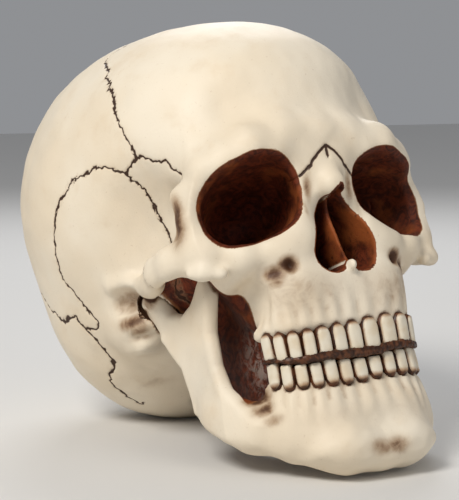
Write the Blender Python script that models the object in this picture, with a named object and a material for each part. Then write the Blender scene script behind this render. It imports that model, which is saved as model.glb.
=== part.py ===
"""A life-size human skull, lying on its chin and the back of its base, parted into its bones."""

import math

import bpy
import numpy as np

# Sizes are millimetres in the skull's own level frame: x to its left, y to its back, z up, from the
# point midway between the ear openings. Both sides are alike, so only x over 0 is given.
MM = 0.001
TILT = math.radians(20.47)
FLOOR = -60.3
SEAM = 0.3

# The grid that the forms are sampled on, the boxes it covers, and how many triangles are kept
GRID = 2.4
SKULL_BOX = ((-88.0, -118.0, -76.0), (88.0, 106.0, 128.0))
JAW_BOX = ((-70.0, -112.0, -108.0), (70.0, 6.0, 12.0))
SKULL_TRIANGLES = 6700
JAW_TRIANGLES = 1500

BONE_COLOUR = (0.80, 0.72, 0.58)
BONE_ROUGHNESS = 0.55

# Braincase: centre y and z, then the three radii
VAULT = (16.0, 41.0, 71.5, 74.5, 73.5)
FOREHEAD = (-31.5, 56.5, 57.0, 54.5, 44.5)
OCCIPUT = (38.0, -3.0, 56.0, 40.0, 46.0)
BASE = (-2.0, 2.0, 50.0, 52.0, 32.0)

# Centre and radii of the rounded masses that are blended into one form
TEMPLE = ((37.0, -54.0, 41.0), (13.0, 18.0, 17.0))
FACE_CORE = ((0.0, -58.0, 4.0), (41.0, 24.0, 36.0))
UPPER_JAW = ((0.0, -66.0, -18.0), (33.0, 22.0, 24.0))
CHEEK = ((38.5, -66.5, -8.0), (7.3, 7.8, 8.8))
CHEEK_UNDER = ((34.5, -72.0, -24.5), (5.5, 9.0, 8.0))
MASTOID = ((45.0, -2.0, -15.0), (9.5, 13.0, 11.5))
EAR_LEDGE = (
    (56.0, -8.0, 1.5, 2.2), (54.0, -18.0, -1.0, 2.2), (53.0, -28.0, -3.8, 2.6), (53.5, -36.0, -4.8, 3.0),
)
EAR_HOLLOW = ((59.5, -15.0, -8.5), (9.0, 11.0, 7.0))
TEMPORAL_HOLLOW = ((70.0, -44.0, 6.0), (27.0, 24.0, 37.0))
CHIN = ((13.3, -84.1, -83.9), (13.6, 8.3, 4.6))
JAW_HEAD = ((44.0, -18.5, -9.5), (6.8, 6.0, 6.0))

# Bent rods: points along each, with the radius at each point
BROW = (
    (0.0, -85.5, 38.0, 5.5), (14.0, -85.0, 37.8, 6.0), (29.6, -84.6, 35.4, 6.0),
    (38.8, -79.6, 31.2, 5.5), (45.0, -74.8, 28.0, 4.8), (49.0, -68.9, 19.6, 4.2),
)
BROW_EDGE = (
    (11.5, -84.0, 31.2, 4.6), (20.5, -85.4, 31.0, 4.8), (31.0, -84.2, 29.8, 4.8), (40.5, -78.6, 26.4, 4.6),
)
NOSE_BRIDGE = ((0.0, -82.0, 36.0, 7.0), (0.0, -85.3, 25.0, 6.4), (0.2, -90.6, 17.0, 5.4))
NOSE_SIDE = (
    (8.5, -83.0, 30.0, 5.5), (13.0, -81.0, 12.0, 6.0), (17.5, -81.0, -6.0, 8.0), (19.0, -80.0, -20.0, 9.0),
)
ORBIT_FLOOR_RIM = (
    (15.0, -84.0, 0.0, 5.0), (26.0, -82.0, -6.0, 5.2), (37.8, -78.1, -6.7, 5.5), (46.4, -72.0, -1.0, 5.5),
)
CHEEK_EDGE = ((56.8, -70.5, -10.2, 1.4), (54.0, -73.5, -11.0, 1.6), (48.0, -77.0, -12.4, 2.0))
CHEEK_POST = ((52.5, -65.8, 20.6, 4.0), (54.0, -68.7, 10.3, 3.8), (50.0, -68.5, -1.0, 5.5))
CHEEK_ARCH = (
    (51.5, -69.0, -5.0, 7.2), (54.5, -65.0, -2.0, 6.6), (58.8, -57.5, -2.6, 5.4),
    (58.6, -47.0, -3.0, 5.0), (54.8, -37.0, -4.6, 4.4), (50.5, -28.0, -4.6, 4.2),
)
JAW_BASE = (
    (0.0, -86.3, -86.5, 7.5), (13.2, -84.5, -84.6, 7.5), (27.3, -72.7, -77.6, 7.0),
    (36.6, -60.5, -71.4, 6.5), (40.5, -45.2, -58.2, 6.0),
)
JAW_BODY = (
    (0.0, -83.0, -70.0, 6.5), (15.5, -81.0, -70.0, 6.5), (26.0, -73.0, -68.0, 6.0), (31.0, -60.5, -66.0, 5.5),
)

# Upright plate of the lower jaw: outline in y and z, then where it stands and how thick it is
RAMUS = (
    (-14.0, -9.8), (-17.2, -21.9), (-21.8, -29.2), (-30.6, -38.8), (-33.3, -48.6), (-34.6, -57.8),
    (-41.7, -64.4), (-53.0, -71.0), (-66.0, -74.0), (-70.0, -69.5), (-63.5, -61.5), (-57.5, -53.0),
    (-54.0, -43.0), (-53.5, -30.0), (-58.0, -15.0),
    (-58.0, -6.0), (-52.0, -10.5), (-44.0, -17.0), (-35.5, -19.5), (-27.0, -16.5), (-20.0, -8.0),
)
RAMUS_X = 42.5
RAMUS_LEAN = -0.03
RAMUS_HALF = 3.3
RAMUS_BEND = (-57.0, 0.5)

# Openings of the face
ORBIT_RIM = (31.2, -80.0, 13.1)
ORBIT_END = (17.3, -46.0, 10.5)
ORBIT_HALF = (19.4, 14.6)
ORBIT_DROOP = 0.25
ORBIT_LEAN = 0.15
ORBIT_SQUARENESS = 2.6
ORBIT_WALL = 2.6
NOSTRIL = (
    (0.0, 15.2), (3.4, 12.2), (6.4, 7.5), (9.6, 2.0), (12.2, -4.5), (13.0, -9.5), (11.6, -14.2),
    (8.2, -16.6), (4.2, -16.6), (0.0, -14.0),
)
NOSTRIL_BACK = -66.0
# The nose opening and the tooth rows stand a little to the left of the middle
NOSE_SHIFT = 1.6

# Tooth rows: half width, front and back of the arch in plan, and how square the arch is
UPPER_ARCH = (33.6, -89.0, -62.0)
LOWER_ARCH = (32.8, -87.4, -62.0)
ARCH_POWER = 3.7
UPPER_GUM = (-26.5, 12.5)
LOWER_GUM = (-67.5, 11.5)
LOWER_GUM_DEPTH = 12.0
GUM_BACK = -67.5
# The cast is closed behind the bite and between the branches of the jaw by a mass:
# half width, front, where its round front begins, back, height over the floor, and top
THROAT = (27.0, -81.2, -62.0, -22.0, 22.0, -8.0)
SPINAL_HOLE = ((0.0, 14.0, -43.0), (13.0, 16.0, 13.0))
TOOTH_DEPTH = 3.0
TOOTH_PROUD = 1.3
TOOTH_ROOT = 5.0
TOOTH_SIDES = 8
# Teeth from the middle backwards: width, height of the gum line and of the biting edge
UPPER_LEFT = (
    (8.2, -35.8, -47.5), (8.4, -35.0, -46.2), (7.6, -35.0, -46.0), (6.2, -35.6, -46.6), (5.6, -36.0, -46.6),
    (5.4, -36.0, -46.4), (5.4, -36.0, -46.0),
)
UPPER_RIGHT = (
    (7.4, -36.8, -47.5), (6.9, -37.2, -47.7), (6.7, -37.7, -47.6), (5.9, -38.2, -47.9), (5.8, -38.2, -47.9),
    (5.7, -37.6, -47.7), (6.2, -36.4, -46.3),
)
LOWER_LEFT = (
    (7.0, -58.6, -50.4), (6.4, -58.4, -49.4), (6.6, -58.2, -48.8), (5.9, -58.2, -48.5), (5.7, -58.0, -48.3),
    (5.6, -57.6, -47.9), (6.8, -57.0, -47.5),
)
LOWER_RIGHT = (
    (7.0, -59.4, -50.6), (6.4, -59.8, -50.6), (6.6, -59.5, -50.1), (5.9, -59.6, -50.7), (5.7, -59.1, -50.4),
    (5.6, -58.7, -49.2), (6.8, -57.0, -47.5),
)
UPPER_SHIFT = 1.9
LOWER_SHIFT = 2.4

# Where the bones meet, seen from the side (y and z)
TEMPORAL_SEAM = (
    (-36.6, 39.8), (-31.5, 44), (-25, 47), (-16, 47.2), (-8, 44.5), (-1.5, 41), (3.8, 35.5), (10.6, 27.6),
    (13.3, 19.7), (16.4, 11.8), (15.4, 2.7), (10, -7), (13, -10), (20.5, -10), (20, -17), (20, -24),
    (27, -28), (31, -32), (33, -38), (36, -50), (38, -80), (-24, -80), (-26, -30), (-30, -14), (-34, 0),
    (-36.3, 10.5), (-36, 20.5), (-38, 28.3), (-38, 34.7),
)
TEMPORAL_INNER = 30.0
ARCH_SEAM = ((-46, -14), (-46, 10), (-24, 10), (-24, -14))
ARCH_INNER = 49.0
SPHENOID_SEAM = (
    (-45, 44), (-36.6, 39.8), (-38, 34.7), (-38, 28.3), (-36, 20.5), (-36.3, 10.5), (-34, 0), (-30, -14),
    (-26, -30), (-24, -80), (-57, -80), (-57, -30), (-57, 2), (-59, 20), (-64.2, 30.4), (-58, 37.7),
    (-51, 41),
)
OCCIPITAL_SEAM = (
    (20.5, -10), (22.5, -3), (32.6, -4), (48, 12), (64, 32), (80, 52), (91, 66), (140, 80), (140, -90),
    (-26, -90), (-26, -10),
)
CORONAL_SEAM = (
    (8, 140), (0, 112), (-10, 97), (-27, 82.6), (-35.4, 71), (-40, 62), (-42.5, 54), (-45, 44),
    (-45, -90), (-140, -90), (-140, 140),
)
# Where the bones meet, seen from the front (x and z)
CHEEK_SEAM = ((29, 4), (33, -6), (36, -14), (36, -24), (80, -24), (80, 22), (44, 22), (38, 8))
CHEEK_PLAN = ((26, -110), (80, -110), (80, -46), (48, -46), (48, -60), (40, -63), (26, -72))
NASAL_SEAM = ((0, 32), (3.5, 29.5), (7, 26), (8.5, 22.5), (7.8, 18), (7.4, 11), (6.6, 0), (0, 0))
NASAL_BACK = -77.0
JAW_SEAM = (
    (0, 27), (8.5, 24.2), (11.5, 21.5), (15, 20), (18, 6), (23, 1), (30, -2), (46, -2), (46, -80), (0, -80),
)
JAW_BACK = -57.0


def vec(values):
    return np.array(values, np.float32)


def blend_min(a, b, k):
    """The nearer of two forms, run together over k."""
    h = np.clip(0.5 + 0.5 * (b - a) / k, 0, 1)
    return b + (a - b) * h - k * h * (1 - h)


def blend_max(a, b, k):
    return -blend_min(-a, -b, k)


def ellipsoid(p, centre, radii):
    q = p - vec(centre)
    r = vec(radii)
    near = np.linalg.norm(q / r, axis=-1)
    slope = np.linalg.norm(q / r ** 2, axis=-1)
    return near * (near - 1) / np.maximum(slope, 1e-6)


def rod(p, points, squeeze=1.0):
    """Distance to a bent rod; squeeze over 1 flattens it from side to side."""
    scale = vec((squeeze, 1, 1))
    q = p * scale
    out = None
    for one, two in zip(points, points[1:]):
        a = vec(one[:3]) * scale
        ab = vec(two[:3]) * scale - a
        t = np.clip((q - a) @ ab / (ab @ ab), 0, 1)
        d = np.linalg.norm(q - a - t[..., None] * ab, axis=-1) - (one[3] + (two[3] - one[3]) * t)
        out = d if out is None else blend_min(out, d, 4.0)
    return out / squeeze


def smooth_curve(points, steps):
    """A curve through every point, with this many steps between two."""
    pts = [np.array(a, float) for a in points]
    pts = [2 * pts[0] - pts[1], *pts, 2 * pts[-1] - pts[-2]]
    out = []
    for a, b, c, d in zip(pts, pts[1:], pts[2:], pts[3:]):
        for t in np.arange(steps) / steps:
            bend = (c - a) * t + (2 * a - 5 * b + 4 * c - d) * t ** 2 + (3 * b - a - 3 * c + d) * t ** 3
            out.append(b + bend / 2)
    return np.array([*out, pts[-2]])


def outline_distance(u, v, corners):
    """Signed distance in a plane to a closed outline, negative inside."""
    pts = vec(corners)
    nearest = np.full(u.shape, np.inf, np.float32)
    inside = np.zeros(u.shape, bool)
    for (au, av), (bu, bv) in zip(pts, np.roll(pts, -1, axis=0)):
        eu, ev = bu - au, bv - av
        wu, wv = u - au, v - av
        t = np.clip((wu * eu + wv * ev) / (eu * eu + ev * ev), 0, 1)
        nearest = np.minimum(nearest, (wu - t * eu) ** 2 + (wv - t * ev) ** 2)
        if av != bv:
            inside ^= ((av > v) != (bv > v)) & (u < eu * (v - av) / ev + au)
    return np.where(inside, -1, 1) * np.sqrt(nearest)


def slab(flat, across, half, edge):
    """A flat form, half thick each way, with its edges rounded."""
    a = flat + edge
    b = np.abs(across) - half + edge
    return np.minimum(np.maximum(a, b), 0) + np.hypot(np.maximum(a, 0), np.maximum(b, 0)) - edge


def orbit(q):
    """The eye socket, a rounded square tunnel that narrows inwards."""
    rim = np.array(ORBIT_RIM)
    along = np.array(ORBIT_END) - rim
    depth = float(np.linalg.norm(along))
    along = along / depth
    across = np.cross(along, (0, 0, 1))
    across = -across / np.linalg.norm(across)
    across = across * np.sign(across[0])
    up = np.cross(across, along)
    up = up * np.sign(up[2])
    w = q - vec(rim)
    deep = w @ vec(along) / depth
    narrow = np.where(deep < 0, 1 - 0.12 * deep, 0.93 * np.sqrt(np.clip(1 - deep * deep, 0, 1)) + 0.07)
    narrow = np.clip(narrow, 0.05, 1.3)
    u = w @ vec(across)
    v = w @ vec(up)
    u, v = u - ORBIT_LEAN * v, v + ORBIT_DROOP * u
    u = np.abs(u / (ORBIT_HALF[0] * narrow))
    v = np.abs(v / (ORBIT_HALF[1] * narrow))
    r = (u ** ORBIT_SQUARENESS + v ** ORBIT_SQUARENESS) ** (1 / ORBIT_SQUARENESS)
    return np.maximum((r - 1) * ORBIT_HALF[1] * narrow * 0.8, (deep - 1) * depth)


def nostril(p):
    side = smooth_curve(NOSTRIL, 3)
    ring = np.concatenate([side, side[-2:0:-1] * (-1, 1)])
    return np.maximum(outline_distance(p[..., 0] - NOSE_SHIFT, p[..., 2], ring), p[..., 1] - NOSTRIL_BACK)


def arch_plan(q, arch):
    """Distance in plan to the outside of a tooth row, negative inside it."""
    half, front, back = arch
    u = np.abs(q[..., 0]) / half
    v = np.maximum(back - q[..., 1], 0) / (back - front)
    r = (u ** ARCH_POWER + v ** ARCH_POWER) ** (1 / ARCH_POWER)
    slope = np.hypot(u ** (ARCH_POWER - 1) / half, v ** (ARCH_POWER - 1) / (back - front))
    return (r - 1) * np.maximum(r, 0.05) ** (ARCH_POWER - 1) / np.maximum(slope, 0.02)


def braincase(q):
    d = ellipsoid(q, (0, *VAULT[:2]), VAULT[2:])
    d = blend_min(d, ellipsoid(q, (0, *FOREHEAD[:2]), FOREHEAD[2:]), 22)
    d = blend_min(d, ellipsoid(q, (0, *OCCIPUT[:2]), OCCIPUT[2:]), 20)
    return blend_min(d, ellipsoid(q, (0, *BASE[:2]), BASE[2:]), 16)


def throat(q):
    """The mass that closes the cast behind the teeth."""
    half, front, middle, back, low, high = THROAT
    u = np.abs(q[..., 0]) / half
    v = np.maximum(middle - q[..., 1], 0) / (middle - front)
    plan = ((u ** 4 + v ** 4) ** 0.25 - 1) * (middle - front)
    upright = np.maximum(q[..., 1] - back, np.maximum(low - floor_height(q), q[..., 2] - high))
    return blend_max(plan, upright, 3)


def cheek_arch(q):
    return rod(q, CHEEK_ARCH, squeeze=1.5)


def cranium_mass(q):
    """The skull without its lower jaw, before its openings are cut."""
    d = braincase(q)
    d = blend_min(d, ellipsoid(q, *TEMPLE), 12)
    d = blend_min(d, ellipsoid(q, *MASTOID), 9)
    d = blend_max(d, -ellipsoid(q, *TEMPORAL_HOLLOW), 8)
    d = blend_min(d, rod(q, EAR_LEDGE), 5)
    d = blend_max(d, -ellipsoid(q, *EAR_HOLLOW), 3)
    d = blend_min(d, rod(q, BROW), 16)
    d = blend_min(d, rod(q, BROW_EDGE), 7)
    d = blend_min(d, ellipsoid(q, *FACE_CORE), 10)
    d = blend_min(d, ellipsoid(q, *UPPER_JAW), 10)
    d = blend_min(d, rod(q, NOSE_BRIDGE), 9)
    d = blend_min(d, rod(q, NOSE_SIDE), 8)
    d = blend_min(d, rod(q, ORBIT_FLOOR_RIM), 8)
    d = blend_min(d, ellipsoid(q, *CHEEK), 10)
    d = blend_min(d, rod(q, CHEEK_POST), 6)
    shell = np.maximum(orbit(q) - ORBIT_WALL, -(q[..., 1] + 74))
    d = blend_min(d, shell, 4)
    d = blend_min(d, cheek_arch(q), 5)
    d = blend_min(d, rod(q, CHEEK_EDGE), 4)
    gum = np.maximum(arch_plan(q, UPPER_ARCH), q[..., 1] - GUM_BACK)
    d = blend_min(d, slab(gum, q[..., 2] - UPPER_GUM[0], UPPER_GUM[1], 4), 6)
    d = blend_max(d, -ellipsoid(q, *CHEEK_UNDER), 5)
    return blend_min(d, throat(q), 3)


def floor_height(q):
    """Height over the floor that the tilted skull lies on."""
    return q[..., 1] * math.sin(-TILT) + q[..., 2] * math.cos(TILT) - FLOOR


def mirrored(p):
    q = p.copy()
    q[..., 0] = np.abs(p[..., 0])
    return q


def cranium(p):
    q = mirrored(p)
    d = cranium_mass(q)
    d = blend_max(d, -orbit(q), 2.5)
    d = blend_max(d, -nostril(p), 1.2)
    d = blend_max(d, -ellipsoid(q, *SPINAL_HOLE), 3)
    d = np.maximum(d, 0.7 - lower_jaw(q))
    return np.maximum(d, -floor_height(p))


def lower_jaw(q):
    d = blend_min(rod(q, JAW_BASE), rod(q, JAW_BODY), 12)
    d = blend_min(d, ellipsoid(q, *CHIN), 8)
    gum = arch_plan(q, LOWER_ARCH)
    gum = np.maximum(np.maximum(gum, -gum - LOWER_GUM_DEPTH), q[..., 1] - GUM_BACK)
    d = blend_min(d, slab(gum, q[..., 2] - LOWER_GUM[0] - (q[..., 1] + 87) * 0.17, LOWER_GUM[1], 4), 6)
    plate = outline_distance(q[..., 1], q[..., 2], RAMUS) - 1
    lean = q[..., 0] - RAMUS_X - RAMUS_LEAN * (q[..., 2] + 40)
    lean = lean + RAMUS_BEND[1] * np.maximum(RAMUS_BEND[0] - q[..., 1], 0)
    d = blend_min(d, slab(plate, lean, RAMUS_HALF, 3), 5)
    return blend_min(d, ellipsoid(q, *JAW_HEAD), 4)


def mandible(p):
    return np.maximum(lower_jaw(mirrored(p)), -floor_height(p))


def sampled(field, low, high, coarse=4):
    """The field on a grid, worked out only near its surface."""
    count = np.ceil((np.array(high) - low) / GRID / coarse).astype(int)
    axes = [low[i] + GRID * coarse * (np.arange(count[i]) + 0.5) for i in range(3)]
    centres = np.stack(np.meshgrid(*axes, indexing="ij"), -1).astype(np.float32)
    rough = field(centres)
    side = np.where(rough < 0, -1, 1).astype(np.float32)
    values = np.ones(count * coarse + 1, np.float32)
    values[:-1, :-1, :-1] = side.repeat(coarse, 0).repeat(coarse, 1).repeat(coarse, 2)
    wanted = np.zeros(values.shape, bool)
    for i, j, k in np.argwhere(np.abs(rough) < GRID * coarse * 1.35) * coarse:
        wanted[i:i + coarse + 1, j:j + coarse + 1, k:k + coarse + 1] = True
    places = (np.array(low) + np.argwhere(wanted) * GRID).astype(np.float32)
    values[wanted] = field(places)
    return values, low


def without_pinches(values):
    """Fills the squares of the grid where two parts of the surface would meet in one edge."""
    for axis in (0, 1, 2, 0, 1, 2):
        one, two = [i for i in range(3) if i != axis]
        corners = []
        for a in (0, 1):
            for b in (0, 1):
                spot = [slice(None)] * 3
                spot[one] = slice(a, values.shape[one] - 1 + a)
                spot[two] = slice(b, values.shape[two] - 1 + b)
                corners.append(tuple(spot))
        inside = [values[c] < 0 for c in corners]
        crossed = (inside[0] == inside[3]) & (inside[1] == inside[2]) & (inside[0] != inside[1])
        for corner in corners:
            spots = values[corner]
            spots[crossed & (spots >= 0)] = -0.05 * GRID
    return values


def surface(values, low):
    """One point in each cell that the surface crosses, joined by four-sided faces."""
    values = without_pinches(values)
    inside = values < 0
    shape = np.array(values.shape) - 1
    corners = [(i, j, k) for i in (0, 1) for j in (0, 1) for k in (0, 1)]
    count = np.zeros(shape, np.int8)
    for i, j, k in corners:
        count += inside[i:i + shape[0], j:j + shape[1], k:k + shape[2]]
    cells = np.argwhere((count > 0) & (count < 8))
    index = np.full(shape, -1)
    index[tuple(cells.T)] = np.arange(len(cells))
    total = np.zeros((len(cells), 3))
    hits = np.zeros(len(cells))
    for corner in corners:
        for axis in range(3):
            if corner[axis]:
                continue
            step = np.eye(3, dtype=int)[axis]
            one = values[tuple((cells + corner).T)]
            two = values[tuple((cells + corner + step).T)]
            crossed = (one < 0) != (two < 0)
            t = one / np.where(crossed, one - two, 1)
            total += np.where(crossed[:, None], np.array(corner) + t[:, None] * step, 0)
            hits += crossed
    points = np.array(low) + (cells + total / hits[:, None]) * GRID
    faces = []
    for axis in range(3):
        near = [slice(1, -1)] * 3
        far = [slice(1, -1)] * 3
        near[axis] = slice(0, -1)
        far[axis] = slice(1, None)
        left = inside[tuple(near)]
        edge = np.argwhere(left != inside[tuple(far)])
        flip = ~left[tuple(edge.T)]
        one = (axis + 1) % 3
        two = (axis + 2) % 3
        quads = []
        for a, b in ((0, 0), (1, 0), (1, 1), (0, 1)):
            cell = edge.copy()
            cell[:, one] += a
            cell[:, two] += b
            quads.append(index[tuple(cell.T)])
        quads = np.stack(quads, 1)
        quads[flip] = quads[flip][:, ::-1]
        faces.append(quads)
    return points, np.concatenate(faces)


def add_object(name, points, faces):
    mesh = bpy.data.meshes.new(name)
    mesh.from_pydata([tuple(map(float, a)) for a in points], [], [tuple(map(int, f)) for f in faces])
    mesh.update()
    item = bpy.data.objects.new(name, mesh)
    bpy.context.scene.collection.objects.link(item)
    return item


def settle(item):
    """Replaces an object's mesh by what its modifiers make of it."""
    graph = bpy.context.evaluated_depsgraph_get()
    mesh = bpy.data.meshes.new_from_object(item.evaluated_get(graph))
    item.modifiers.clear()
    item.data = mesh
    return item


def thin_out(item, triangles):
    edit = item.modifiers.new("Triangles", "TRIANGULATE")
    edit.quad_method = "SHORTEST_DIAGONAL"
    settle(item)
    edit = item.modifiers.new("Fewer faces", "DECIMATE")
    edit.ratio = min(1, triangles / len(item.data.polygons))
    return settle(item)


def combine(item, other, operation):
    edit = item.modifiers.new("Combine", "BOOLEAN")
    edit.operation = operation
    edit.solver = "EXACT"
    edit.object = other
    return settle(item)


def copied(item, name):
    twin = bpy.data.objects.new(name, item.data.copy())
    bpy.context.scene.collection.objects.link(twin)
    return twin


def remove(item):
    bpy.data.objects.remove(item)


def keep_largest(item):
    """Drops every loose scrap and keeps the one closed surface that spans the most."""
    mesh = item.data
    group = np.arange(len(mesh.vertices))
    ends = np.empty(len(mesh.edges) * 2, int)
    mesh.edges.foreach_get("vertices", ends)
    ends = ends.reshape(-1, 2)
    while True:
        low = np.minimum(group[ends[:, 0]], group[ends[:, 1]])
        before = group.copy()
        np.minimum.at(group, ends[:, 0], low)
        np.minimum.at(group, ends[:, 1], low)
        group = group[group]
        if (group == before).all():
            break
    names, count = np.unique(group, return_counts=True)
    if len(names) == 1:
        return item
    best = names[np.argmax(count)]
    points = np.empty(len(group) * 3)
    mesh.vertices.foreach_get("co", points)
    kept = group == best
    place = np.cumsum(kept) - 1
    faces = [[place[v] for v in f.vertices] for f in mesh.polygons if kept[f.vertices[0]]]
    name = item.name
    remove(item)
    return add_object(name, points.reshape(-1, 3)[kept], faces)


def grown(corners, gap):
    """An outline moved outwards by gap; its corners run round it in either sense."""
    pts = np.array(corners, float)
    before = pts - np.roll(pts, 1, axis=0)
    after = np.roll(pts, -1, axis=0) - pts
    area = np.sum(pts[:, 0] * np.roll(pts[:, 1], -1) - pts[:, 1] * np.roll(pts[:, 0], -1))
    turn = np.sign(area)
    before /= np.linalg.norm(before, axis=1)[:, None]
    after /= np.linalg.norm(after, axis=1)[:, None]
    out_a = np.stack([before[:, 1], -before[:, 0]], 1) * turn
    out_b = np.stack([after[:, 1], -after[:, 0]], 1) * turn
    both = out_a + out_b
    return pts + gap * both / np.maximum((both * out_a).sum(1), 0.4)[:, None]


def prism(name, corners, axis, low, high):
    """A closed block: an outline in the two axes other than this one, from low to high along it."""
    pts = np.array(corners, float)
    rest = [i for i in range(3) if i != axis]
    ring = np.zeros((len(pts), 3))
    ring[:, rest] = pts
    base = ring.copy()
    top = ring.copy()
    base[:, axis] = low
    top[:, axis] = high
    n = len(pts)
    faces = [list(range(n)), list(range(2 * n - 1, n - 1, -1))]
    faces += [[i, n + i, n + (i + 1) % n, (i + 1) % n] for i in range(n)]
    area = np.sum(pts[:, 0] * np.roll(pts[:, 1], -1) - pts[:, 1] * np.roll(pts[:, 0], -1))
    if (area > 0) == (axis == 1):
        faces = [f[::-1] for f in faces]
    faces = [f[::-1] for f in faces]
    return add_object(name, np.concatenate([base, top]), faces)


def flipped(corners):
    return [(-a, b) for a, b in corners]


def regions():
    """Each bone with the blocks that hold it; a bone takes what the ones before it left."""
    out = []
    for side, name in ((1, "left"), (-1, "right")):
        spans = (TEMPORAL_INNER, 100) if side > 0 else (-100, -TEMPORAL_INNER)
        arch = (ARCH_INNER, 100) if side > 0 else (-100, -ARCH_INNER)
        out.append((f"temporal_{name}", "any", [(TEMPORAL_SEAM, 0, *spans), (ARCH_SEAM, 0, *arch)]))
    for side, name in ((1, "left"), (-1, "right")):
        seam = CHEEK_SEAM if side > 0 else flipped(CHEEK_SEAM)
        plan = CHEEK_PLAN if side > 0 else flipped(CHEEK_PLAN)
        out.append((f"zygomatic_{name}", "all", [(seam, 1, -120, -40), (plan, 2, -60, 60)]))
    for side, name in ((1, "left"), (-1, "right")):
        seam = NASAL_SEAM if side > 0 else flipped(NASAL_SEAM)
        out.append((f"nasal_{name}", "any", [(seam, 1, -120, NASAL_BACK)]))
    for side, name in ((1, "left"), (-1, "right")):
        seam = [(x if x else UPPER_SHIFT * side, z) for x, z in JAW_SEAM]
        seam = seam if side > 0 else flipped(seam)
        out.append((f"maxilla_{name}", "any", [(seam, 1, -120, JAW_BACK)]))
    out.append(("sphenoid_bone", "any", [(SPHENOID_SEAM, 0, -100, 100)]))
    out.append(("occipital_bone", "any", [(OCCIPITAL_SEAM, 0, -100, 100)]))
    out.append(("frontal_bone", "any", [(CORONAL_SEAM, 0, -100, 100)]))
    half = ((0, -100), (0, 150), (100, 150), (100, -100))
    out.append(("parietal_left", "any", [(half, 1, -150, 150)]))
    return out


def block(name, how, parts, gap):
    """The blocks of one bone joined, or what they share, each grown by gap."""
    made = None
    for corners, axis, low, high in parts:
        item = prism(name, grown(corners, gap) if gap else corners, axis, low - gap, high + gap)
        if made is None:
            made = item
        else:
            combine(made, item, "UNION" if how == "any" else "INTERSECT")
            remove(item)
    return made


def part_bones(whole_skull):
    """Cuts the skull into its bones, leaving a thin gap at each seam."""
    bones = {}
    rest = whole_skull
    for name, how, parts in regions():
        inner = block(name + "_block", how, parts, 0)
        outer = block(name + "_gap", how, parts, SEAM)
        bones[name] = keep_largest(combine(copied(rest, name), inner, "INTERSECT"))
        combine(rest, outer, "DIFFERENCE")
        remove(inner)
        remove(outer)
    rest.name = "parietal_right"
    bones["parietal_right"] = keep_largest(rest)
    return bones


def arch_curve(arch):
    """The tooth row's line in plan, with the length along it from the middle."""
    half, front, back = arch
    turn = np.linspace(0, math.pi / 2, 400)
    x = half * np.sin(turn) ** (2 / ARCH_POWER)
    y = back - (back - front) * np.cos(turn) ** (2 / ARCH_POWER)
    x = np.append(x, half)
    y = np.append(y, back + 20)
    return np.stack([x, y], 1), np.concatenate([[0], np.cumsum(np.hypot(np.diff(x), np.diff(y)))])


def point_along(curve, length, at):
    """A point of the tooth row; a place before its middle lies on the other side."""
    spot = np.array([np.interp(abs(at), length, curve[:, k]) for k in (0, 1)])
    return spot * (math.copysign(1, at), 1)


def tooth_places(teeth, side, shift):
    """Each tooth of one side: where it stands along the row, its width, gum line and edge."""
    reach = side * shift
    out = []
    for width, gum, tip in teeth:
        out.append((reach + width / 2, width, gum, tip))
        reach += width
    return out


def tooth(name, place, outward, width, gum, tip, side):
    """One tooth: a rounded peg, broad at its edge, with its root run into the jaw."""
    sign = 1 if tip > gum else -1
    tall = abs(tip - gum)
    levels = ((-TOOTH_ROOT, 0.66, 0.60), (0.0, 0.88, 0.95), (0.62 * tall, 1.0, 0.95), (tall, 0.80, 0.46))
    ring = []
    across = np.array((-outward[1], outward[0]))
    for rise, wide, deep in levels:
        for turn in np.linspace(0, 2 * math.pi, TOOTH_SIDES, endpoint=False):
            c = math.copysign(abs(math.cos(turn)) ** 0.75, math.cos(turn)) * wide * (width / 2 - 0.2)
            s = math.copysign(abs(math.sin(turn)) ** 0.75, math.sin(turn)) * deep * TOOTH_DEPTH
            spot = place + across * c + outward * (s - TOOTH_DEPTH + TOOTH_PROUD)
            ring.append((side * spot[0], spot[1], gum + sign * rise))
    n = TOOTH_SIDES
    rows = len(levels)
    faces = [list(range(n))[::-1], list(range((rows - 1) * n, rows * n))]
    for start in range(0, (rows - 1) * n, n):
        for i in range(n):
            j = (i + 1) % n
            faces.append([start + i, start + j, start + n + j, start + n + i])
    if side * sign < 0:
        faces = [f[::-1] for f in faces]
    return add_object(name, ring, faces)


def add_teeth(bone, arch, teeth, side, shift):
    curve, length = arch_curve(arch)
    for at, width, gum, tip in tooth_places(teeth, side, shift):
        place, ahead, behind = [point_along(curve, length, at + step) for step in (0, 1.5, -1.5)]
        along = (ahead - behind) / np.linalg.norm(ahead - behind)
        outward = np.array((along[1], -along[0]))
        peg = tooth("tooth", place, outward, width, gum, tip, side)
        combine(bone, peg, "UNION")
        remove(peg)
    return keep_largest(bone)


def make_material(name, colour, roughness):
    material = bpy.data.materials.new(name)
    material.use_nodes = True
    shader = material.node_tree.nodes["Principled BSDF"]
    shader.inputs["Base Color"].default_value = (*colour, 1)
    shader.inputs["Roughness"].default_value = roughness
    return material


def lay_down(items):
    """Turns the bones into the pose they rest in and puts the middle of their box over the origin."""
    turned = {}
    c = math.cos(TILT)
    s = math.sin(-TILT)
    for name, item in items.items():
        pts = np.empty(len(item.data.vertices) * 3)
        item.data.vertices.foreach_get("co", pts)
        pts = pts.reshape(-1, 3)
        y = pts[:, 1] * c - pts[:, 2] * s
        z = pts[:, 1] * s + pts[:, 2] * c
        turned[name] = np.stack([pts[:, 0], y, z], 1) * MM
    every = np.concatenate(list(turned.values()))
    low = every.min(0)
    origin = np.array([*(low + every.max(0))[:2] / 2, low[2]])
    for name, item in items.items():
        item.data.vertices.foreach_set("co", (turned[name] - origin).ravel())
        item.data.update()


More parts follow.
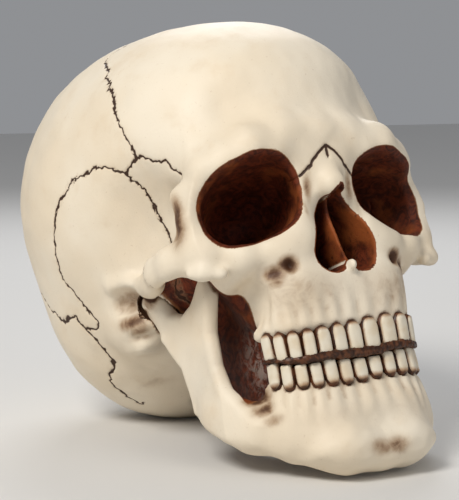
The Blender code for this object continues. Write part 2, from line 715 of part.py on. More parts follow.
def build():
    for item in list(bpy.data.objects):
        bpy.data.objects.remove(item)
    skull = thin_out(add_object("skull", *surface(*sampled(cranium, *SKULL_BOX))), SKULL_TRIANGLES)
    jaw = thin_out(add_object("mandible", *surface(*sampled(mandible, *JAW_BOX))), JAW_TRIANGLES)
    bones = part_bones(keep_largest(skull))
    for name, teeth, side in (("maxilla_left", UPPER_LEFT, 1), ("maxilla_right", UPPER_RIGHT, -1)):
        bones[name] = add_teeth(bones[name], UPPER_ARCH, teeth, side, UPPER_SHIFT)
    jaw = add_teeth(keep_largest(jaw), LOWER_ARCH, LOWER_LEFT, 1, LOWER_SHIFT)
    bones["mandible"] = add_teeth(jaw, LOWER_ARCH, LOWER_RIGHT, -1, LOWER_SHIFT)
    lay_down(bones)
    for name, item in bones.items():
        item.name = name
        item.data.materials.clear()
        item.data.materials.append(make_material(name, BONE_COLOUR, BONE_ROUGHNESS))
        print(name, len(item.data.polygons))


build()
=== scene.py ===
"""A life-size human skull, as a cast with a brown wash, lying on its chin and the back of its base."""

import math
from concurrent.futures import ThreadPoolExecutor

import bpy
import numpy as np
from mathutils import Matrix, Vector


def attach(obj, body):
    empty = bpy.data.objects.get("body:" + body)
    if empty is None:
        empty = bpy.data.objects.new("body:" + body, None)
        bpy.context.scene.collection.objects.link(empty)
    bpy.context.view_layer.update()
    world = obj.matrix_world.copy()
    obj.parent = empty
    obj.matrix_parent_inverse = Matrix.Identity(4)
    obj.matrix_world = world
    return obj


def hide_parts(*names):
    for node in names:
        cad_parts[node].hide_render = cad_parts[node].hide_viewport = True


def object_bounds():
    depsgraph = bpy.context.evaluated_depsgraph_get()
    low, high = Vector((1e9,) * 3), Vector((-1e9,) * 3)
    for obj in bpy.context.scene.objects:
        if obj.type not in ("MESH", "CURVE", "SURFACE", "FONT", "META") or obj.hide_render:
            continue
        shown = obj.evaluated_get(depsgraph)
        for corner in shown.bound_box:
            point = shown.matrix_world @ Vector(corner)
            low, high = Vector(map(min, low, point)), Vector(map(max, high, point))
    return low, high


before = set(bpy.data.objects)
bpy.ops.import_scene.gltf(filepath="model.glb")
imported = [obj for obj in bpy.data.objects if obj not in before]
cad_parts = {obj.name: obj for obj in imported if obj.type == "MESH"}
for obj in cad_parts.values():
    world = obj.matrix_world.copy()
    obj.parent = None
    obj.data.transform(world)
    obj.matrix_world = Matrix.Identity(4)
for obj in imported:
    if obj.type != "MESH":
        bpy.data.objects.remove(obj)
cad_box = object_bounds()

# Sizes are millimetres in the skull's own level frame: x to its left, y to its back, z up, from the
# point midway between the ear openings. Both sides are alike, so only x over 0 is given.
MM = 0.001
TILT = math.radians(20.47)
FLOOR = -60.3

# The boxes that the sampling grids cover
SKULL_BOX = ((-88.0, -118.0, -76.0), (88.0, 106.0, 128.0))
JAW_BOX = ((-70.0, -112.0, -108.0), (70.0, 6.0, 12.0))

# Braincase: centre y and z, then the three radii
VAULT = (16.0, 41.0, 71.5, 74.5, 73.5)
FOREHEAD = (-31.5, 56.5, 57.0, 54.5, 44.5)
OCCIPUT = (38.0, -3.0, 56.0, 40.0, 46.0)
BASE = (-2.0, 2.0, 50.0, 52.0, 32.0)

# Centre and radii of the rounded masses that are blended into one form
TEMPLE = ((37.0, -54.0, 41.0), (13.0, 18.0, 17.0))
FACE_CORE = ((0.0, -58.0, 4.0), (41.0, 24.0, 36.0))
UPPER_JAW = ((0.0, -66.0, -18.0), (33.0, 22.0, 24.0))
CHEEK = ((38.5, -66.5, -8.0), (7.3, 7.8, 8.8))
CHEEK_UNDER = ((34.5, -72.0, -24.5), (5.5, 9.0, 8.0))
MASTOID = ((45.0, -2.0, -15.0), (9.5, 13.0, 11.5))
EAR_LEDGE = (
    (56.0, -8.0, 1.5, 2.2), (54.0, -18.0, -1.0, 2.2), (53.0, -28.0, -3.8, 2.6), (53.5, -36.0, -4.8, 3.0),
)
EAR_HOLLOW = ((59.5, -15.0, -8.5), (9.0, 11.0, 7.0))
TEMPORAL_HOLLOW = ((70.0, -44.0, 6.0), (27.0, 24.0, 37.0))
CHIN = ((13.3, -84.1, -83.9), (13.6, 8.3, 4.6))
JAW_HEAD = ((44.0, -18.5, -9.5), (6.8, 6.0, 6.0))

# Bent rods: points along each, with the radius at each point
BROW = (
    (0.0, -85.5, 38.0, 5.5), (14.0, -85.0, 37.8, 6.0), (29.6, -84.6, 35.4, 6.0),
    (38.8, -79.6, 31.2, 5.5), (45.0, -74.8, 28.0, 4.8), (49.0, -68.9, 19.6, 4.2),
)
BROW_EDGE = (
    (11.5, -84.0, 31.2, 4.6), (20.5, -85.4, 31.0, 4.8), (31.0, -84.2, 29.8, 4.8), (40.5, -78.6, 26.4, 4.6),
)
NOSE_BRIDGE = ((0.0, -82.0, 36.0, 7.0), (0.0, -85.3, 25.0, 6.4), (0.2, -90.6, 17.0, 5.4))
NOSE_SIDE = (
    (8.5, -83.0, 30.0, 5.5), (13.0, -81.0, 12.0, 6.0), (17.5, -81.0, -6.0, 8.0), (19.0, -80.0, -20.0, 9.0),
)
ORBIT_FLOOR_RIM = (
    (15.0, -84.0, 0.0, 5.0), (26.0, -82.0, -6.0, 5.2), (37.8, -78.1, -6.7, 5.5), (46.4, -72.0, -1.0, 5.5),
)
CHEEK_EDGE = ((56.8, -70.5, -10.2, 1.4), (54.0, -73.5, -11.0, 1.6), (48.0, -77.0, -12.4, 2.0))
CHEEK_POST = ((52.5, -65.8, 20.6, 4.0), (54.0, -68.7, 10.3, 3.8), (50.0, -68.5, -1.0, 5.5))
CHEEK_ARCH = (
    (51.5, -69.0, -5.0, 7.2), (54.5, -65.0, -2.0, 6.6), (58.8, -57.5, -2.6, 5.4),
    (58.6, -47.0, -3.0, 5.0), (54.8, -37.0, -4.6, 4.4), (50.5, -28.0, -4.6, 4.2),
)
JAW_BASE = (
    (0.0, -86.3, -86.5, 7.5), (13.2, -84.5, -84.6, 7.5), (27.3, -72.7, -77.6, 7.0),
    (36.6, -60.5, -71.4, 6.5), (40.5, -45.2, -58.2, 6.0),
)
JAW_BODY = (
    (0.0, -83.0, -70.0, 6.5), (15.5, -81.0, -70.0, 6.5), (26.0, -73.0, -68.0, 6.0), (31.0, -60.5, -66.0, 5.5),
)

# Upright plate of the lower jaw: outline in y and z, then where it stands and how thick it is
RAMUS = (
    (-14.0, -9.8), (-17.2, -21.9), (-21.8, -29.2), (-30.6, -38.8), (-33.3, -48.6), (-34.6, -57.8),
    (-41.7, -64.4), (-53.0, -71.0), (-66.0, -74.0), (-70.0, -69.5), (-63.5, -61.5), (-57.5, -53.0),
    (-54.0, -43.0), (-53.5, -30.0), (-58.0, -15.0),
    (-58.0, -6.0), (-52.0, -10.5), (-44.0, -17.0), (-35.5, -19.5), (-27.0, -16.5), (-20.0, -8.0),
)
RAMUS_X = 42.5
RAMUS_LEAN = -0.03
RAMUS_HALF = 3.3
RAMUS_BEND = (-57.0, 0.5)

# Openings of the face
ORBIT_RIM = (31.2, -80.0, 13.1)
ORBIT_END = (17.3, -46.0, 10.5)
ORBIT_HALF = (19.4, 14.6)
ORBIT_DROOP = 0.25
ORBIT_LEAN = 0.15
ORBIT_SQUARENESS = 2.6
ORBIT_WALL = 2.6
NOSTRIL = (
    (0.0, 15.2), (3.4, 12.2), (6.4, 7.5), (9.6, 2.0), (12.2, -4.5), (13.0, -9.5), (11.6, -14.2),
    (8.2, -16.6), (4.2, -16.6), (0.0, -14.0),
)
NOSTRIL_BACK = -66.0
# The nose opening and the tooth rows stand a little to the left of the middle
NOSE_SHIFT = 1.6

# Tooth rows: half width, front and back of the arch in plan, and how square the arch is
UPPER_ARCH = (33.6, -89.0, -62.0)
LOWER_ARCH = (32.8, -87.4, -62.0)
ARCH_POWER = 3.7
UPPER_GUM = (-26.5, 12.5)
LOWER_GUM = (-67.5, 11.5)
LOWER_GUM_DEPTH = 12.0
GUM_BACK = -67.5
# The cast is closed behind the bite and between the branches of the jaw by a mass:
# half width, front, where its round front begins, back, height over the floor, and top
THROAT = (27.0, -81.2, -62.0, -22.0, 22.0, -8.0)
SPINAL_HOLE = ((0.0, 14.0, -43.0), (13.0, 16.0, 13.0))
TOOTH_DEPTH = 3.0
TOOTH_PROUD = 1.3
# Teeth from the middle backwards: width, height of the gum line and of the biting edge
UPPER_LEFT = (
    (8.2, -35.8, -47.5), (8.4, -35.0, -46.2), (7.6, -35.0, -46.0), (6.2, -35.6, -46.6), (5.6, -36.0, -46.6),
    (5.4, -36.0, -46.4), (5.4, -36.0, -46.0),
)
UPPER_RIGHT = (
    (7.4, -36.8, -47.5), (6.9, -37.2, -47.7), (6.7, -37.7, -47.6), (5.9, -38.2, -47.9), (5.8, -38.2, -47.9),
    (5.7, -37.6, -47.7), (6.2, -36.4, -46.3),
)
LOWER_LEFT = (
    (7.0, -58.6, -50.4), (6.4, -58.4, -49.4), (6.6, -58.2, -48.8), (5.9, -58.2, -48.5), (5.7, -58.0, -48.3),
    (5.6, -57.6, -47.9), (6.8, -57.0, -47.5),
)
LOWER_RIGHT = (
    (7.0, -59.4, -50.6), (6.4, -59.8, -50.6), (6.6, -59.5, -50.1), (5.9, -59.6, -50.7), (5.7, -59.1, -50.4),
    (5.6, -58.7, -49.2), (6.8, -57.0, -47.5),
)
UPPER_SHIFT = 1.9
LOWER_SHIFT = 2.4

# Where the bones meet, seen from the side (y and z)
TEMPORAL_SEAM = (
    (-36.6, 39.8), (-31.5, 44), (-25, 47), (-16, 47.2), (-8, 44.5), (-1.5, 41), (3.8, 35.5), (10.6, 27.6),
    (13.3, 19.7), (16.4, 11.8), (15.4, 2.7), (10, -7), (13, -10), (20.5, -10), (20, -17), (20, -24),
    (27, -28), (31, -32), (33, -38), (36, -50), (38, -80), (-24, -80), (-26, -30), (-30, -14), (-34, 0),
    (-36.3, 10.5), (-36, 20.5), (-38, 28.3), (-38, 34.7),
)
TEMPORAL_INNER = 30.0
ARCH_SEAM = ((-46, -14), (-46, 10), (-24, 10), (-24, -14))
ARCH_INNER = 49.0
SPHENOID_SEAM = (
    (-45, 44), (-36.6, 39.8), (-38, 34.7), (-38, 28.3), (-36, 20.5), (-36.3, 10.5), (-34, 0), (-30, -14),
    (-26, -30), (-24, -80), (-57, -80), (-57, -30), (-57, 2), (-59, 20), (-64.2, 30.4), (-58, 37.7),
    (-51, 41),
)
OCCIPITAL_SEAM = (
    (20.5, -10), (22.5, -3), (32.6, -4), (48, 12), (64, 32), (80, 52), (91, 66), (140, 80), (140, -90),
    (-26, -90), (-26, -10),
)
CORONAL_SEAM = (
    (8, 140), (0, 112), (-10, 97), (-27, 82.6), (-35.4, 71), (-40, 62), (-42.5, 54), (-45, 44),
    (-45, -90), (-140, -90), (-140, 140),
)
# Where the bones meet, seen from the front (x and z)
CHEEK_SEAM = ((29, 4), (33, -6), (36, -14), (36, -24), (80, -24), (80, 22), (44, 22), (38, 8))
CHEEK_PLAN = ((26, -110), (80, -110), (80, -46), (48, -46), (48, -60), (40, -63), (26, -72))
NASAL_SEAM = ((0, 32), (3.5, 29.5), (7, 26), (8.5, 22.5), (7.8, 18), (7.4, 11), (6.6, 0), (0, 0))
NASAL_BACK = -77.0
JAW_SEAM = (
    (0, 27), (8.5, 24.2), (11.5, 21.5), (15, 20), (18, 6), (23, 1), (30, -2), (46, -2), (46, -80), (0, -80),
)
JAW_BACK = -57.0


def vec(values):
    return np.array(values, np.float32)


def blend_min(a, b, k):
    """The nearer of two forms, run together over k."""
    h = np.clip(0.5 + 0.5 * (b - a) / k, 0, 1)
    return b + (a - b) * h - k * h * (1 - h)


def blend_max(a, b, k):
    return -blend_min(-a, -b, k)


def ellipsoid(p, centre, radii):
    q = p - vec(centre)
    r = vec(radii)
    near = np.linalg.norm(q / r, axis=-1)
    slope = np.linalg.norm(q / r ** 2, axis=-1)
    return near * (near - 1) / np.maximum(slope, 1e-6)


def rod(p, points, squeeze=1.0):
    """Distance to a bent rod; squeeze over 1 flattens it from side to side."""
    scale = vec((squeeze, 1, 1))
    q = p * scale
    out = None
    for one, two in zip(points, points[1:]):
        a = vec(one[:3]) * scale
        ab = vec(two[:3]) * scale - a
        t = np.clip((q - a) @ ab / (ab @ ab), 0, 1)
        d = np.linalg.norm(q - a - t[..., None] * ab, axis=-1) - (one[3] + (two[3] - one[3]) * t)
        out = d if out is None else blend_min(out, d, 4.0)
    return out / squeeze


def smooth_curve(points, steps):
    """A curve through every point, with this many steps between two."""
    pts = [np.array(a, float) for a in points]
    pts = [2 * pts[0] - pts[1], *pts, 2 * pts[-1] - pts[-2]]
    out = []
    for a, b, c, d in zip(pts, pts[1:], pts[2:], pts[3:]):
        for t in np.arange(steps) / steps:
            bend = (c - a) * t + (2 * a - 5 * b + 4 * c - d) * t ** 2 + (3 * b - a - 3 * c + d) * t ** 3
            out.append(b + bend / 2)
    return np.array([*out, pts[-2]])


def outline_distance(u, v, corners):
    """Signed distance in a plane to a closed outline, negative inside."""
    pts = vec(corners)
    nearest = np.full(u.shape, np.inf, np.float32)
    inside = np.zeros(u.shape, bool)
    for (au, av), (bu, bv) in zip(pts, np.roll(pts, -1, axis=0)):
        eu, ev = bu - au, bv - av
        wu, wv = u - au, v - av
        t = np.clip((wu * eu + wv * ev) / (eu * eu + ev * ev), 0, 1)
        nearest = np.minimum(nearest, (wu - t * eu) ** 2 + (wv - t * ev) ** 2)
        if av != bv:
            inside ^= ((av > v) != (bv > v)) & (u < eu * (v - av) / ev + au)
    return np.where(inside, -1, 1) * np.sqrt(nearest)


def slab(flat, across, half, edge):
    """A flat form, half thick each way, with its edges rounded."""
    a = flat + edge
    b = np.abs(across) - half + edge
    return np.minimum(np.maximum(a, b), 0) + np.hypot(np.maximum(a, 0), np.maximum(b, 0)) - edge


def orbit(q):
    """The eye socket, a rounded square tunnel that narrows inwards."""
    rim = np.array(ORBIT_RIM)
    along = np.array(ORBIT_END) - rim
    depth = float(np.linalg.norm(along))
    along = along / depth
    across = np.cross(along, (0, 0, 1))
    across = -across / np.linalg.norm(across)
    across = across * np.sign(across[0])
    up = np.cross(across, along)
    up = up * np.sign(up[2])
    w = q - vec(rim)
    deep = w @ vec(along) / depth
    narrow = np.where(deep < 0, 1 - 0.12 * deep, 0.93 * np.sqrt(np.clip(1 - deep * deep, 0, 1)) + 0.07)
    narrow = np.clip(narrow, 0.05, 1.3)
    u = w @ vec(across)
    v = w @ vec(up)
    u, v = u - ORBIT_LEAN * v, v + ORBIT_DROOP * u
    u = np.abs(u / (ORBIT_HALF[0] * narrow))
    v = np.abs(v / (ORBIT_HALF[1] * narrow))
    r = (u ** ORBIT_SQUARENESS + v ** ORBIT_SQUARENESS) ** (1 / ORBIT_SQUARENESS)
    return np.maximum((r - 1) * ORBIT_HALF[1] * narrow * 0.8, (deep - 1) * depth)


def nostril(p):
    side = smooth_curve(NOSTRIL, 3)
    ring = np.concatenate([side, side[-2:0:-1] * (-1, 1)])
    return np.maximum(outline_distance(p[..., 0] - NOSE_SHIFT, p[..., 2], ring), p[..., 1] - NOSTRIL_BACK)


def arch_plan(q, arch):
    """Distance in plan to the outside of a tooth row, negative inside it."""
    half, front, back = arch
    u = np.abs(q[..., 0]) / half
    v = np.maximum(back - q[..., 1], 0) / (back - front)
    r = (u ** ARCH_POWER + v ** ARCH_POWER) ** (1 / ARCH_POWER)
    slope = np.hypot(u ** (ARCH_POWER - 1) / half, v ** (ARCH_POWER - 1) / (back - front))
    return (r - 1) * np.maximum(r, 0.05) ** (ARCH_POWER - 1) / np.maximum(slope, 0.02)


def braincase(q):
    d = ellipsoid(q, (0, *VAULT[:2]), VAULT[2:])
    d = blend_min(d, ellipsoid(q, (0, *FOREHEAD[:2]), FOREHEAD[2:]), 22)
    d = blend_min(d, ellipsoid(q, (0, *OCCIPUT[:2]), OCCIPUT[2:]), 20)
    return blend_min(d, ellipsoid(q, (0, *BASE[:2]), BASE[2:]), 16)


def throat(q):
    """The mass that closes the cast behind the teeth."""
    half, front, middle, back, low, high = THROAT
    u = np.abs(q[..., 0]) / half
    v = np.maximum(middle - q[..., 1], 0) / (middle - front)
    plan = ((u ** 4 + v ** 4) ** 0.25 - 1) * (middle - front)
    upright = np.maximum(q[..., 1] - back, np.maximum(low - floor_height(q), q[..., 2] - high))
    return blend_max(plan, upright, 3)


def cheek_arch(q):
    return rod(q, CHEEK_ARCH, squeeze=1.5)


def cranium_mass(q):
    """The skull without its lower jaw, before its openings are cut."""
    d = braincase(q)
    d = blend_min(d, ellipsoid(q, *TEMPLE), 12)
    d = blend_min(d, ellipsoid(q, *MASTOID), 9)
    d = blend_max(d, -ellipsoid(q, *TEMPORAL_HOLLOW), 8)
    d = blend_min(d, rod(q, EAR_LEDGE), 5)
    d = blend_max(d, -ellipsoid(q, *EAR_HOLLOW), 3)
    d = blend_min(d, rod(q, BROW), 16)
    d = blend_min(d, rod(q, BROW_EDGE), 7)
    d = blend_min(d, ellipsoid(q, *FACE_CORE), 10)
    d = blend_min(d, ellipsoid(q, *UPPER_JAW), 10)
    d = blend_min(d, rod(q, NOSE_BRIDGE), 9)
    d = blend_min(d, rod(q, NOSE_SIDE), 8)
    d = blend_min(d, rod(q, ORBIT_FLOOR_RIM), 8)
    d = blend_min(d, ellipsoid(q, *CHEEK), 10)
    d = blend_min(d, rod(q, CHEEK_POST), 6)
    shell = np.maximum(orbit(q) - ORBIT_WALL, -(q[..., 1] + 74))
    d = blend_min(d, shell, 4)
    d = blend_min(d, cheek_arch(q), 5)
    d = blend_min(d, rod(q, CHEEK_EDGE), 4)
    gum = np.maximum(arch_plan(q, UPPER_ARCH), q[..., 1] - GUM_BACK)
    d = blend_min(d, slab(gum, q[..., 2] - UPPER_GUM[0], UPPER_GUM[1], 4), 6)
    d = blend_max(d, -ellipsoid(q, *CHEEK_UNDER), 5)
    return blend_min(d, throat(q), 3)


def floor_height(q):
    """Height over the floor that the tilted skull lies on."""
    return q[..., 1] * math.sin(-TILT) + q[..., 2] * math.cos(TILT) - FLOOR


def mirrored(p):
    q = p.copy()
    q[..., 0] = np.abs(p[..., 0])
    return q


def lower_jaw(q):
    d = blend_min(rod(q, JAW_BASE), rod(q, JAW_BODY), 12)
    d = blend_min(d, ellipsoid(q, *CHIN), 8)
    gum = arch_plan(q, LOWER_ARCH)
    gum = np.maximum(np.maximum(gum, -gum - LOWER_GUM_DEPTH), q[..., 1] - GUM_BACK)
    d = blend_min(d, slab(gum, q[..., 2] - LOWER_GUM[0] - (q[..., 1] + 87) * 0.17, LOWER_GUM[1], 4), 6)
    plate = outline_distance(q[..., 1], q[..., 2], RAMUS) - 1
    lean = q[..., 0] - RAMUS_X - RAMUS_LEAN * (q[..., 2] + 40)
    lean = lean + RAMUS_BEND[1] * np.maximum(RAMUS_BEND[0] - q[..., 1], 0)
    d = blend_min(d, slab(plate, lean, RAMUS_HALF, 3), 5)
    return blend_min(d, ellipsoid(q, *JAW_HEAD), 4)


def mandible(p):
    return np.maximum(lower_jaw(mirrored(p)), -floor_height(p))


def sampled(field, low, high, coarse=4):
    """The field on a grid, worked out only near its surface."""
    count = np.ceil((np.array(high) - low) / GRID / coarse).astype(int)
    axes = [low[i] + GRID * coarse * (np.arange(count[i]) + 0.5) for i in range(3)]
    centres = np.stack(np.meshgrid(*axes, indexing="ij"), -1).astype(np.float32)
    rough = field(centres)
    side = np.where(rough < 0, -1, 1).astype(np.float32)
    values = np.ones(count * coarse + 1, np.float32)
    values[:-1, :-1, :-1] = side.repeat(coarse, 0).repeat(coarse, 1).repeat(coarse, 2)
    wanted = np.zeros(values.shape, bool)
    for i, j, k in np.argwhere(np.abs(rough) < GRID * coarse * 1.35) * coarse:
        wanted[i:i + coarse + 1, j:j + coarse + 1, k:k + coarse + 1] = True
    places = (np.array(low) + np.argwhere(wanted) * GRID).astype(np.float32)
    values[wanted] = in_chunks(field, places)
    return values, low


def without_pinches(values):
    """Fills the squares of the grid where two parts of the surface would meet in one edge."""
    for axis in (0, 1, 2, 0, 1, 2):
        one, two = [i for i in range(3) if i != axis]
        corners = []
        for a in (0, 1):
            for b in (0, 1):
                spot = [slice(None)] * 3
                spot[one] = slice(a, values.shape[one] - 1 + a)
                spot[two] = slice(b, values.shape[two] - 1 + b)
                corners.append(tuple(spot))
        inside = [values[c] < 0 for c in corners]
        crossed = (inside[0] == inside[3]) & (inside[1] == inside[2]) & (inside[0] != inside[1])
        for corner in corners:
            spots = values[corner]
            spots[crossed & (spots >= 0)] = -0.05 * GRID
    return values


def surface(values, low):
    """One point in each cell that the surface crosses, joined by four-sided faces."""
    values = without_pinches(values)
    inside = values < 0
    shape = np.array(values.shape) - 1
    corners = [(i, j, k) for i in (0, 1) for j in (0, 1) for k in (0, 1)]
    count = np.zeros(shape, np.int8)
    for i, j, k in corners:
        count += inside[i:i + shape[0], j:j + shape[1], k:k + shape[2]]
    cells = np.argwhere((count > 0) & (count < 8))
    index = np.full(shape, -1)
    index[tuple(cells.T)] = np.arange(len(cells))
    total = np.zeros((len(cells), 3))
    hits = np.zeros(len(cells))
    for corner in corners:
        for axis in range(3):
            if corner[axis]:
                continue
            step = np.eye(3, dtype=int)[axis]
            one = values[tuple((cells + corner).T)]
            two = values[tuple((cells + corner + step).T)]
            crossed = (one < 0) != (two < 0)
            t = one / np.where(crossed, one - two, 1)
            total += np.where(crossed[:, None], np.array(corner) + t[:, None] * step, 0)
            hits += crossed
    points = np.array(low) + (cells + total / hits[:, None]) * GRID
    faces = []
    for axis in range(3):
        near = [slice(1, -1)] * 3
        far = [slice(1, -1)] * 3
        near[axis] = slice(0, -1)
        far[axis] = slice(1, None)
        left = inside[tuple(near)]
        edge = np.argwhere(left != inside[tuple(far)])
        flip = ~left[tuple(edge.T)]
        one = (axis + 1) % 3
        two = (axis + 2) % 3
        quads = []
        for a, b in ((0, 0), (1, 0), (1, 1), (0, 1)):
            cell = edge.copy()
            cell[:, one] += a
            cell[:, two] += b
            quads.append(index[tuple(cell.T)])
        quads = np.stack(quads, 1)
        quads[flip] = quads[flip][:, ::-1]
        faces.append(quads)
    return points, np.concatenate(faces)


def flipped(corners):
    return [(-a, b) for a, b in corners]


def regions():
    """Each bone with the blocks that hold it; a bone takes what the ones before it left."""
    out = []
    for side, name in ((1, "left"), (-1, "right")):
        spans = (TEMPORAL_INNER, 100) if side > 0 else (-100, -TEMPORAL_INNER)
        arch = (ARCH_INNER, 100) if side > 0 else (-100, -ARCH_INNER)
        out.append((f"temporal_{name}", "any", [(TEMPORAL_SEAM, 0, *spans), (ARCH_SEAM, 0, *arch)]))
    for side, name in ((1, "left"), (-1, "right")):
        seam = CHEEK_SEAM if side > 0 else flipped(CHEEK_SEAM)
        plan = CHEEK_PLAN if side > 0 else flipped(CHEEK_PLAN)
        out.append((f"zygomatic_{name}", "all", [(seam, 1, -120, -40), (plan, 2, -60, 60)]))
    for side, name in ((1, "left"), (-1, "right")):
        seam = NASAL_SEAM if side > 0 else flipped(NASAL_SEAM)
        out.append((f"nasal_{name}", "any", [(seam, 1, -120, NASAL_BACK)]))
    for side, name in ((1, "left"), (-1, "right")):
        seam = [(x if x else UPPER_SHIFT * side, z) for x, z in JAW_SEAM]
        seam = seam if side > 0 else flipped(seam)
        out.append((f"maxilla_{name}", "any", [(seam, 1, -120, JAW_BACK)]))
    out.append(("sphenoid_bone", "any", [(SPHENOID_SEAM, 0, -100, 100)]))
    out.append(("occipital_bone", "any", [(OCCIPITAL_SEAM, 0, -100, 100)]))
    out.append(("frontal_bone", "any", [(CORONAL_SEAM, 0, -100, 100)]))
    half = ((0, -100), (0, 150), (100, 150), (100, -100))
    out.append(("parietal_left", "any", [(half, 1, -150, 150)]))
    return out


def arch_curve(arch):
    """The tooth row's line in plan, with the length along it from the middle."""
    half, front, back = arch
    turn = np.linspace(0, math.pi / 2, 400)
    x = half * np.sin(turn) ** (2 / ARCH_POWER)
    y = back - (back - front) * np.cos(turn) ** (2 / ARCH_POWER)
    x = np.append(x, half)
    y = np.append(y, back + 20)
    return np.stack([x, y], 1), np.concatenate([[0], np.cumsum(np.hypot(np.diff(x), np.diff(y)))])


def point_along(curve, length, at):
    """A point of the tooth row; a place before its middle lies on the other side."""
    spot = np.array([np.interp(abs(at), length, curve[:, k]) for k in (0, 1)])
    return spot * (math.copysign(1, at), 1)


def tooth_places(teeth, side, shift):
    """Each tooth of one side: where it stands along the row, its width, gum line and edge."""
    reach = side * shift
    out = []
    for width, gum, tip in teeth:
        out.append((reach + width / 2, width, gum, tip))
        reach += width
    return out


# Spacing of the fine surface's grid, and how many points are worked out at a time
GRID = 0.8
CHUNK = 60000

# The middle of the solids' box on the floor, in the tilted frame and in millimetres
ORIGIN = (0.0, -7.43, -60.3)

# Front edge of the wall in the middle of the nose: z, then y
SEPTUM = (
    (15.5, -87.0), (11.0, -86.0), (6.0, -85.0), (0.3, -84.5), (-5.0, -85.3), (-10.5, -87.0), (-14.4, -89.5),
)
SEPTUM_HALF = 0.8
NOSE_SPINE = ((2.0, -90.0, -15.2), (1.8, 3.2, 2.4))

# Small hollows and swellings of the outer face: centre, reach along each axis, and height.
# Here and below x over 0 stands for both sides.
SPOTS = (
    ((24.0, -88.1, -13.2), (2.2, 3.0, 2.1), -2.8),
    ((28.5, -85.0, -14.8), (3.4, 3.0, 1.7), -1.3),
    ((28.0, -79.0, 58.0), (15.0, 15.0, 9.0), -1.2),
    ((29.0, -76.0, 70.0), (16.0, 16.0, 12.0), 0.8),
    ((0.0, -96.0, 38.0), (8.0, 8.0, 6.0), 0.6),
    ((46.5, -68.0, 40.0), (4.0, 5.0, 7.0), 0.7),
    ((58.6, -67.0, 12.0), (3.6, 3.8, 8.5), -1.8),
    ((54.5, -12.0, -7.0), (4.5, 8.0, 4.0), -2.4),
    ((52.5, -19.0, -12.5), (5.5, 8.0, 3.4), -2.2),
    ((50.5, -11.0, -16.5), (5.5, 7.0, 2.2), 1.3),
    ((49.0, -12.0, -21.5), (6.0, 8.0, 1.8), -1.5),
    ((47.0, -10.0, -25.5), (6.0, 10.0, 1.9), 1.2),
    ((44.0, -6.0, -28.5), (6.0, 10.0, 1.6), -1.2),
    ((38.0, 0.0, -31.0), (9.0, 12.0, 2.2), 1.0),
    ((35.0, 8.0, -35.0), (9.0, 12.0, 1.9), -1.1),
    ((0.0, 77.0, -4.0), (9.0, 12.0, 6.0), 1.6),
    ((30.0, 62.0, -14.0), (22.0, 16.0, 5.0), -1.1),
    ((13.0, -92.0, -80.0), (8.0, 6.0, 5.0), 0.7),
    ((0.0, -92.0, -74.0), (9.0, 8.0, 4.5), -0.8),
    ((42.0, -34.0, -58.0), (8.0, 9.0, 7.0), -0.7),
)

# Where the brown wash lies, then two broad darkenings of the lower face: centre, reach and strength
STAINS = (
    ((24.8, -88.2, -13.0), (3.8, 7.0, 3.3), 1.40),
    ((29.5, -84.5, -15.4), (4.8, 7.0, 3.3), 1.10),
    ((29.8, -84.5, -18.8), (3.6, 6.0, 2.8), 0.70),
    ((9.6, -88.6, 16.5), (1.9, 4.5, 6.0), 0.85),
    ((12.0, -86.0, 8.0), (1.6, 6.0, 8.0), 0.46),
    ((53.2, -12.0, -7.0), (5.0, 8.0, 4.2), 0.88),
    ((51.5, -11.5, -14.5), (6.0, 8.0, 3.6), 1.10),
    ((51.0, -15.0, -18.5), (5.0, 7.0, 3.0), 1.00),
    ((52.0, -23.0, -9.0), (5.0, 6.0, 5.5), 0.95),
    ((49.0, -12.0, -21.5), (6.0, 8.0, 1.5), 0.56),
    ((44.0, -6.0, -28.5), (6.0, 10.0, 1.4), 0.50),
    ((33.0, 12.0, -36.0), (9.0, 12.0, 1.7), 0.46),
    ((3.0, -94.0, -85.5), (6.5, 6.0, 3.6), 0.78),
    ((36.0, -65.0, -59.0), (5.0, 6.0, 3.4), 1.15),
    ((36.3, -69.8, -63.8), (5.0, 5.0, 3.0), 1.00),
    ((35.5, -75.0, -68.5), (4.5, 5.0, 2.6), 0.70),
    ((58.2, -68.0, 11.0), (4.2, 5.0, 9.5), 1.30),
    ((47.0, -56.0, 20.0), (4.5, 6.5, 10.0), 0.70),
    ((34.0, -72.0, -24.0), (4.0, 6.0, 5.0), 0.30),
    # These two darken the front of the upper jaw and of the jaw body broadly
    ((19.0, -86.0, -24.0), (24.0, 14.0, 10.0), 0.42),
    ((16.0, -86.0, -70.0), (26.0, 14.0, 10.0), 0.26),
)

# Teeth are shields that stand a little proud of the gum: rows from the gum to the edge
TOOTH_ROWS = (0.0, 0.02, 0.05, 0.09, 0.14, 0.20, 0.28, 0.38, 0.5, 0.62, 0.74, 0.85, 0.93, 0.975, 1.0)
TOOTH_RING = 28
GUM_GROOVE = 0.55
ROOT_RIDGE = 0.42
ROOT_LENGTH = 17.0
TOOTH_ARCH = 0.5
TOOTH_RIM = 0.5

# Which seams the cast shows; the others are closed
SHOWN_SEAMS = (
    ("frontal", "parietal"), ("frontal", "sphenoid"), ("frontal", "temporal"), ("parietal", "sphenoid"),
    ("parietal", "temporal"), ("parietal", "occipital"), ("temporal", "occipital"), ("temporal", "sphenoid"),
    ("parietal", "parietal"), ("frontal", "nasal"), ("frontal", "maxilla"),
)
SEAM_DEPTH = 0.45
SEAM_WIDTH = 0.50


def in_chunks(work, places):
    """Runs a function of many points on all processor cores, a slice of the points at a time."""
    parts = np.array_split(places, max(1, len(places) // CHUNK))
    with ThreadPoolExecutor(4) as pool:
        return np.concatenate(list(pool.map(work, parts)))


